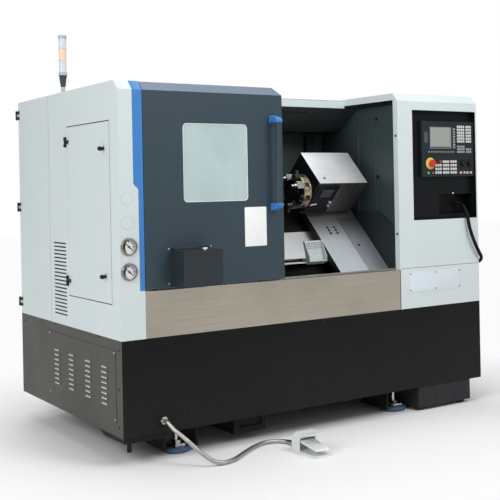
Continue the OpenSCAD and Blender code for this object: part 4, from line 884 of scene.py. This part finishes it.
blackFixing = {"body": "frame", "slot": "black_plastic", "finish": paint["blackPart"]}
steelFixing = {"body": "frame", "slot": "ground_steel", "finish": metal["bright"]}
fixings = {
    "boxScrews": {**steelFixing, "body": "door", "axis": toFront, "size": (3.6, 2.2),
                  "at": [(242, -2, 963), (354, -2, 965), (466, -2, 966), (243, -2, 805)]},
    "columnPlugs": {**blackFixing, "axis": toLeft, "size": (7, 2.4), "at": [(1645, 18, 1499), (1645, 18, 970)]},
    "pocketScrew": {**steelFixing, "axis": toFront, "size": (6, 3.0), "at": [(2075, 30, 1182)]},
    "skirtSideScrews": {**blackFixing, "finish": paint["recess"], "axis": toLeft, "size": (5, 1.6),
                        "at": [(0, 1238, 525), (0, 792, 556), (0, 244, 556), (0, 29, 522), (0, 37, 345),
                               (0, 41, 174), (0, 1264, 350), (0, 1270, 164)]},
    "skirtFrontScrews": {**blackFixing, "axis": toFront, "size": (5, 1.6),
                         "at": [(x, 0, 553) for x in (54, 587, 1120, 1653, 2186)]},
    "louvreScrews": {**steelFixing, "axis": toLeft, "size": (4.5, 1.8),
                     "at": [(-2, y, z) for z in (505, 203) for y in (864, 78)]},
    "rearScrews": {**blackFixing, "axis": toBack, "size": (5, 1.6),
                   "at": [(x, 1285, z) for x in (1060, 1430, 1810, 2190) for z in (600, 1690)]},
    "wallBolts": {**blackFixing, "finish": paint["recess"], "axis": toLeft, "size": (9, 5),
                  "at": [(1740, 280, 1610), (1740, 280, 1283)]},
    "plateGrommets": {**blackFixing, "body": "saddle", "axis": toTop, "size": (8.6, 1.6),
                      "slanted": [(x, s, -155) for x in (1483, 1531) for s in (-4, 18, 40)] + [(1624, -105, -153)]},
    "turretPlug": {**blackFixing, "body": "cross_slide", "axis": toTop, "size": (8, 1.5),
                   "slanted": [(1392, 165, 113)]},
}


def addFixings(name, spec):
    bm = bmesh.new()
    spots = [place(*p) for p in spec.get("at", [])] + [slanted(*p) for p in spec.get("slanted", [])]
    for spot in spots:
        addScrew(bm, spot, spec["axis"], *spec["size"])
    keepPiece(name, bm, [spec["finish"]], spec["body"])


# the catcher's scoop: rows of small drain holes in its leaning back plate
scoopHoles = {
    "x": 1160, "pitch": 9.3, "columns": 11, "heights": (909, 918, 927, 936), "low": (846, 171), "lean": 0.2814,
    "profile": [(0, 0.2), (2.7, 0.2), (3.0, -0.3)], "steps": 8,
}


def addScoopHoles(spec):
    bm = bmesh.new()
    lowZ, lowY = spec["low"]
    for z in spec["heights"]:
        for k in range(spec["columns"]):
            spot = place(spec["x"] + k * spec["pitch"], lowY + (z - lowZ) * spec["lean"], z)
            turnProfile(bm, spot, (0, -1, spec["lean"]), spec["profile"], 0, spec["steps"])
    keepPiece("scoopHoles", bm, [paint["recess"]], "catcher", False)


# the weld between the scoop and the bracket on its shaft
scoopWeld = {"from": 1161, "to": 1197, "outline": ((179, 835), (179, 855), (176.8, 855), (171.2, 835))}


def addScoopWeld(spec):
    bm = bmesh.new()
    verts = [bm.verts.new(place(x, y, z)) for x in (spec["from"], spec["to"]) for y, z in spec["outline"]]
    bmesh.ops.convex_hull(bm, input=verts)
    keepPiece("scoopWeld", bm, [paint["tray"]], "catcher", False)


# a coolant spout on the turret's front cover
spout = {"from": (1352, 119, -52), "to": (1394, 119, -42), "up": (0, -slope, -slope), "size": (9, 6, 1.5)}


def addSpout(spec):
    bm = bmesh.new()
    addBar(bm, slanted(*spec["from"]), slanted(*spec["to"]), spec["up"], *spec["size"])
    keepPiece("turretSpout", bm, [metal["jaw"]], "cross_slide")


# painted shade: dark strips in the black rubber finish round the side door's cut-out, standing in for the shadow in
# its gap, thickest along its top and foot
doorGapShade = {
    "out": 0.6, "edge": 0.15,
    "runs": [
        {"from": (91, 1552.6), "to": (590, 1552.6), "width": 4.0},
        {"from": (91, 720.6), "to": (590, 720.6), "width": 3.6},
        {"from": (89.8, 722), "to": (89.8, 1551), "width": 1.6},
    ],
}


def addDoorGapShade(spec):
    bm = bmesh.new()
    middle = -spec["out"] / 2
    for run in spec["runs"]:
        addBar(bm, place(middle, *run["from"]), place(middle, *run["to"]), toLeft, run["width"], spec["out"],
               spec["edge"])
    keepPiece("sideDoorGapShade", bm, [paint["rubber"]], "frame")


# small quarter-turn latches of the side door, with the tongue behind the sheet
sideLatches = {
    "y": 150, "bodies": {"side_latch_upper": 1427, "side_latch_lower": 843}, "steps": 24,
    "rose": [(0, 2.4), (12, 2.4), (14, 1.2), (14, 0.2)],
    "knob": [(0, 29.4), (6.5, 29.4), (9.5, 27), (10.5, 17), (7.5, 7), (6.5, 2)],
    "stem": [(0, 2), (6.9, 2), (6.9, -10), (0, -10)],
    "wing": {"x": -20.5, "from": -14, "to": 14, "size": (8, 15, 2.0), "finish": 0},
    "tongue": {"x": 5.7, "from": -52, "to": 9, "size": (18, 4.4, 0.8), "finish": 1},
}


def addSideLatch(body, spec):
    bm = bmesh.new()
    y, z = spec["y"], spec["bodies"][body]
    for index, profile in ((1, "rose"), (0, "knob"), (0, "stem")):
        turnProfile(bm, place(0, y, z), toLeft, spec[profile], index, spec["steps"])
    for bar in (spec["wing"], spec["tongue"]):
        addBar(bm, place(bar["x"], y + bar["from"], z), place(bar["x"], y + bar["to"], z), toLeft, *bar["size"],
               bar["finish"])
    name = "sideLatch" + body.split("_")[-1].title()
    piece = keepPiece(name, bm, [paint["blackPart"], metal["bright"]], body)
    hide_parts(body)


# lines where two sheets meet
seams = {
    "sideSeam": {"from": (0, 834, 568), "to": (0, 834, 1727), "up": toLeft, "size": (2.2, 0.6, 0.1),
                 "paint": paint["seam"]},
    "apronGap": {"from": (1645, 0, 567), "to": (1645, 0, 776), "up": toFront, "size": (4.0, 0.6, 0.1),
                 "paint": paint["recess"]},
}


def addSeam(name, spec):
    bm = bmesh.new()
    addBar(bm, place(*spec["from"]), place(*spec["to"]), spec["up"], *spec["size"])
    keepPiece(name, bm, [spec["paint"]], "frame")


# pressed folds that stiffen the right inner wall, lighter than the wall as a painted highlight along each fold
wallFolds = {"x": 1740, "depths": (301, 448), "low": 1100, "high": 1560, "size": (5, 1.6, 0.6)}


def addWallFolds(spec):
    bm = bmesh.new()
    for y in spec["depths"]:
        addBar(bm, place(spec["x"], y, spec["low"]), place(spec["x"], y, spec["high"]), toLeft, *spec["size"])
    keepPiece("wallFolds", bm, [paint["foldHighlight"]], "frame")


addGauges(gauges)
addKnockOuts(knockOuts)
addScreen(screen)
for name, spec in plates.items():
    addPlate(name, spec, plateMake)
addBead(windowBead)
for name, spec in fixings.items():
    addFixings(name, spec)
addScoopHoles(scoopHoles)
addScoopWeld(scoopWeld)
addSpout(spout)
addDoorGapShade(doorGapShade)
addWallFolds(wallFolds)
for body in sideLatches["bodies"]:
    addSideLatch(body, sideLatches)
for name, spec in seams.items():
    addSeam(name, spec)
print("small pieces added")


# smooth points along a route, about one every step metres, with the ends kept
def alongRoute(route, step, least=4):
    ends = [route[0] * 2 - route[1]] + route + [route[-1] * 2 - route[-2]]
    fine = []
    for a, b, c, d in zip(ends, ends[1:], ends[2:], ends[3:]):
        count = max(least, round((c - b).length / step))
        for i in range(count):
            t = i / count
            fine.append(0.5 * (2 * b + (c - a) * t + (2 * a - 5 * b + 4 * c - d) * t ** 2
                               + (3 * b - a - 3 * c + d) * t ** 3))
    fine.append(route[-1])
    return fine


# a ring swept along the route, with a ridge every pitch
def ridgedTube(points, radius, depth, pitch, sides):
    bm = bmesh.new()
    made = bmesh.ops.create_circle(bm, cap_ends=True, segments=sides, radius=1.0)["verts"]
    turns = {v: math.atan2(v.co.y, v.co.x) for v in made}
    edges = bm.edges[:]
    side = Vector((0, 0, 1)).cross(points[1] - points[0]).normalized()
    walked = 0.0
    for i, point in enumerate(points):
        ahead = (points[min(i + 1, len(points) - 1)] - points[max(i - 1, 0)]).normalized()
        side = (side - ahead * side.dot(ahead)).normalized()
        up = ahead.cross(side)
        if i:
            walked += (point - points[i - 1]).length
            before = {v.co.to_tuple(7): angle for v, angle in turns.items()}
            made = bmesh.ops.extrude_edge_only(bm, edges=edges)["geom"]
            turns = {v: before[v.co.to_tuple(7)] for v in made if isinstance(v, bmesh.types.BMVert)}
            edges = [e for e in made if isinstance(e, bmesh.types.BMEdge)]
        r = radius - depth * (0.5 + 0.5 * math.cos(2 * math.pi * walked / pitch))
        for v, angle in turns.items():
            v.co = point + (side * math.cos(angle) + up * math.sin(angle)) * r
    bmesh.ops.holes_fill(bm, edges=edges, sides=sides)
    return bm


conduitCord = {
    "route": [
        (198, -20, 189), (198, -32, 189), (200, -46, 184), (205, -62, 172), (214, -80, 157), (230, -105, 139),
        (260, -140, 104), (292, -170, 66), (328, -192, 34), (357, -203, 17), (385, -207, 11), (412, -206, 10),
        (462, -189, 10), (518, -151, 10), (576, -112, 10), (628, -80, 10), (673, -58, 10), (710, -45, 10),
        (740, -42, 10), (771, -48, 10), (797, -65, 10), (814, -91, 11), (819, -122, 14), (818, -150, 20),
        (817, -174, 25), (817, -190, 25),
    ],
    "diameter": 20, "ridge": 0.7, "pitch": 5.5, "rings": 4, "sides": 16,
}
panelCord = {
    "route": [
        (2143, 50, 1118), (2143, 38, 1118), (2143, 23, 1112), (2142, 8, 1096), (2141, -10, 1066),
        (2141, -20, 1030), (2147, -25, 984), (2166, -27, 932), (2192, -26, 884), (2217, -23, 848),
        (2242, -16, 818), (2258, 4, 797), (2262, 34, 783), (2262, 62, 776), (2262, 84, 775), (2262, 100, 775),
    ],
    "diameter": 20, "ridge": 0.8, "pitch": 5.0, "rings": 4, "sides": 16,
}


def addCord(name, cord, node, material):
    points = alongRoute([place(*p) for p in cord["route"]], cord["pitch"] / cord["rings"] / 1000)
    bm = ridgedTube(points, cord["diameter"] / 2000, cord["ridge"] / 1000, cord["pitch"] / 1000, cord["sides"])
    obj = keepPiece(name, bm, [material], "frame")
    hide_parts(node)


addCord("flexConduit", conduitCord, "conduit", metal["conduit"])
addCord("controlCable", panelCord, "panel_cable", paint["cable"])

# stage and light

stageLook = {
    "size": 40, "drop": 0.0005, "colour": (0.86, 0.86, 0.86, 1), "rough": 0.9, "white": (0.97, 0.97, 0.97, 1),
    "fade": (1.25, 2.3), "ambient": 0.4,
}


# a pale floor that fades into the white round it
def addFloor(look):
    bm = bmesh.new()
    bmesh.ops.create_grid(bm, x_segments=2, y_segments=2, size=look["size"] / 2)
    mesh = bpy.data.meshes.new("floor")
    bm.to_mesh(mesh)
    bm.free()
    made, tree, shader = newMaterial("floorPale")
    setInputs(shader, {"Base Color": look["colour"], "Roughness": look["rough"]})
    glow = addNode(tree, "ShaderNodeEmission")
    glow.inputs["Color"].default_value = look["white"]
    far = addNode(tree, "ShaderNodeVectorMath", operation="LENGTH")
    tree.links.new(objectPoint(tree), far.inputs[0])
    path = addNode(tree, "ShaderNodeLightPath").outputs
    seen = mathNode(tree, "ADD", path["Is Camera Ray"], path["Is Glossy Ray"])
    seen = mathNode(tree, "MAXIMUM", seen, path["Is Transmission Ray"])
    mix = addNode(tree, "ShaderNodeMixShader")
    tree.links.new(mathNode(tree, "MULTIPLY", spread(tree, far.outputs["Value"], look["fade"]), seen), mix.inputs[0])
    tree.links.new(shader.outputs[0], mix.inputs[1])
    tree.links.new(glow.outputs[0], mix.inputs[2])
    tree.links.new(mix.outputs[0], tree.nodes["Material Output"].inputs["Surface"])
    mesh.materials.append(made)
    floor = bpy.data.objects.new("floor", mesh)
    floor.location.z = -look["drop"]
    scene.collection.objects.link(floor)


def addWorld(look):
    world = bpy.data.worlds.new("studio")
    scene.world = world
    world.use_nodes = True
    tree = world.node_tree
    back = tree.nodes["Background"]
    back.inputs["Color"].default_value = (1, 1, 1, 1)
    path = addNode(tree, "ShaderNodeLightPath").outputs
    seen = mathNode(tree, "ADD", path["Is Camera Ray"], path["Is Transmission Ray"])
    tree.links.new(spread(tree, seen, (0.0, 1.0), look["ambient"], 1.0), back.inputs["Strength"])


lamps = {
    "keyLeft": {"at": (-4300, -1500, 3400), "aim": (700, 400, 900), "size": 2.6, "power": 150},
    "overhead": {"at": (1100, 200, 4600), "aim": (1100, 300, 0), "size": 3.2, "power": 72},
    "frontTop": {"at": (1750, -2700, 3500), "aim": (1350, 250, 1000), "size": 1.6, "power": 62},
    "fillFront": {"at": (2600, -5200, 2300), "aim": (1300, 200, 900), "size": 3.0, "power": 12},
    "rear": {"at": (1500, 5200, 3200), "aim": (1100, 900, 900), "size": 3.0, "power": 90},
}


def addLamp(name, lamp):
    data = bpy.data.lights.new(name, "AREA")
    data.shape = "SQUARE"
    data.size = lamp["size"]
    data.energy = lamp["power"]
    obj = bpy.data.objects.new(name, data)
    scene.collection.objects.link(obj)
    spot = place(*lamp["at"])
    obj.location = spot
    obj.rotation_mode = "QUATERNION"
    obj.rotation_quaternion = (place(*lamp["aim"]) - spot).to_track_quat("-Z", "Y")


addFloor(stageLook)
addWorld(stageLook)
for name, lamp in lamps.items():
    addLamp(name, lamp)
print("stage and light set")
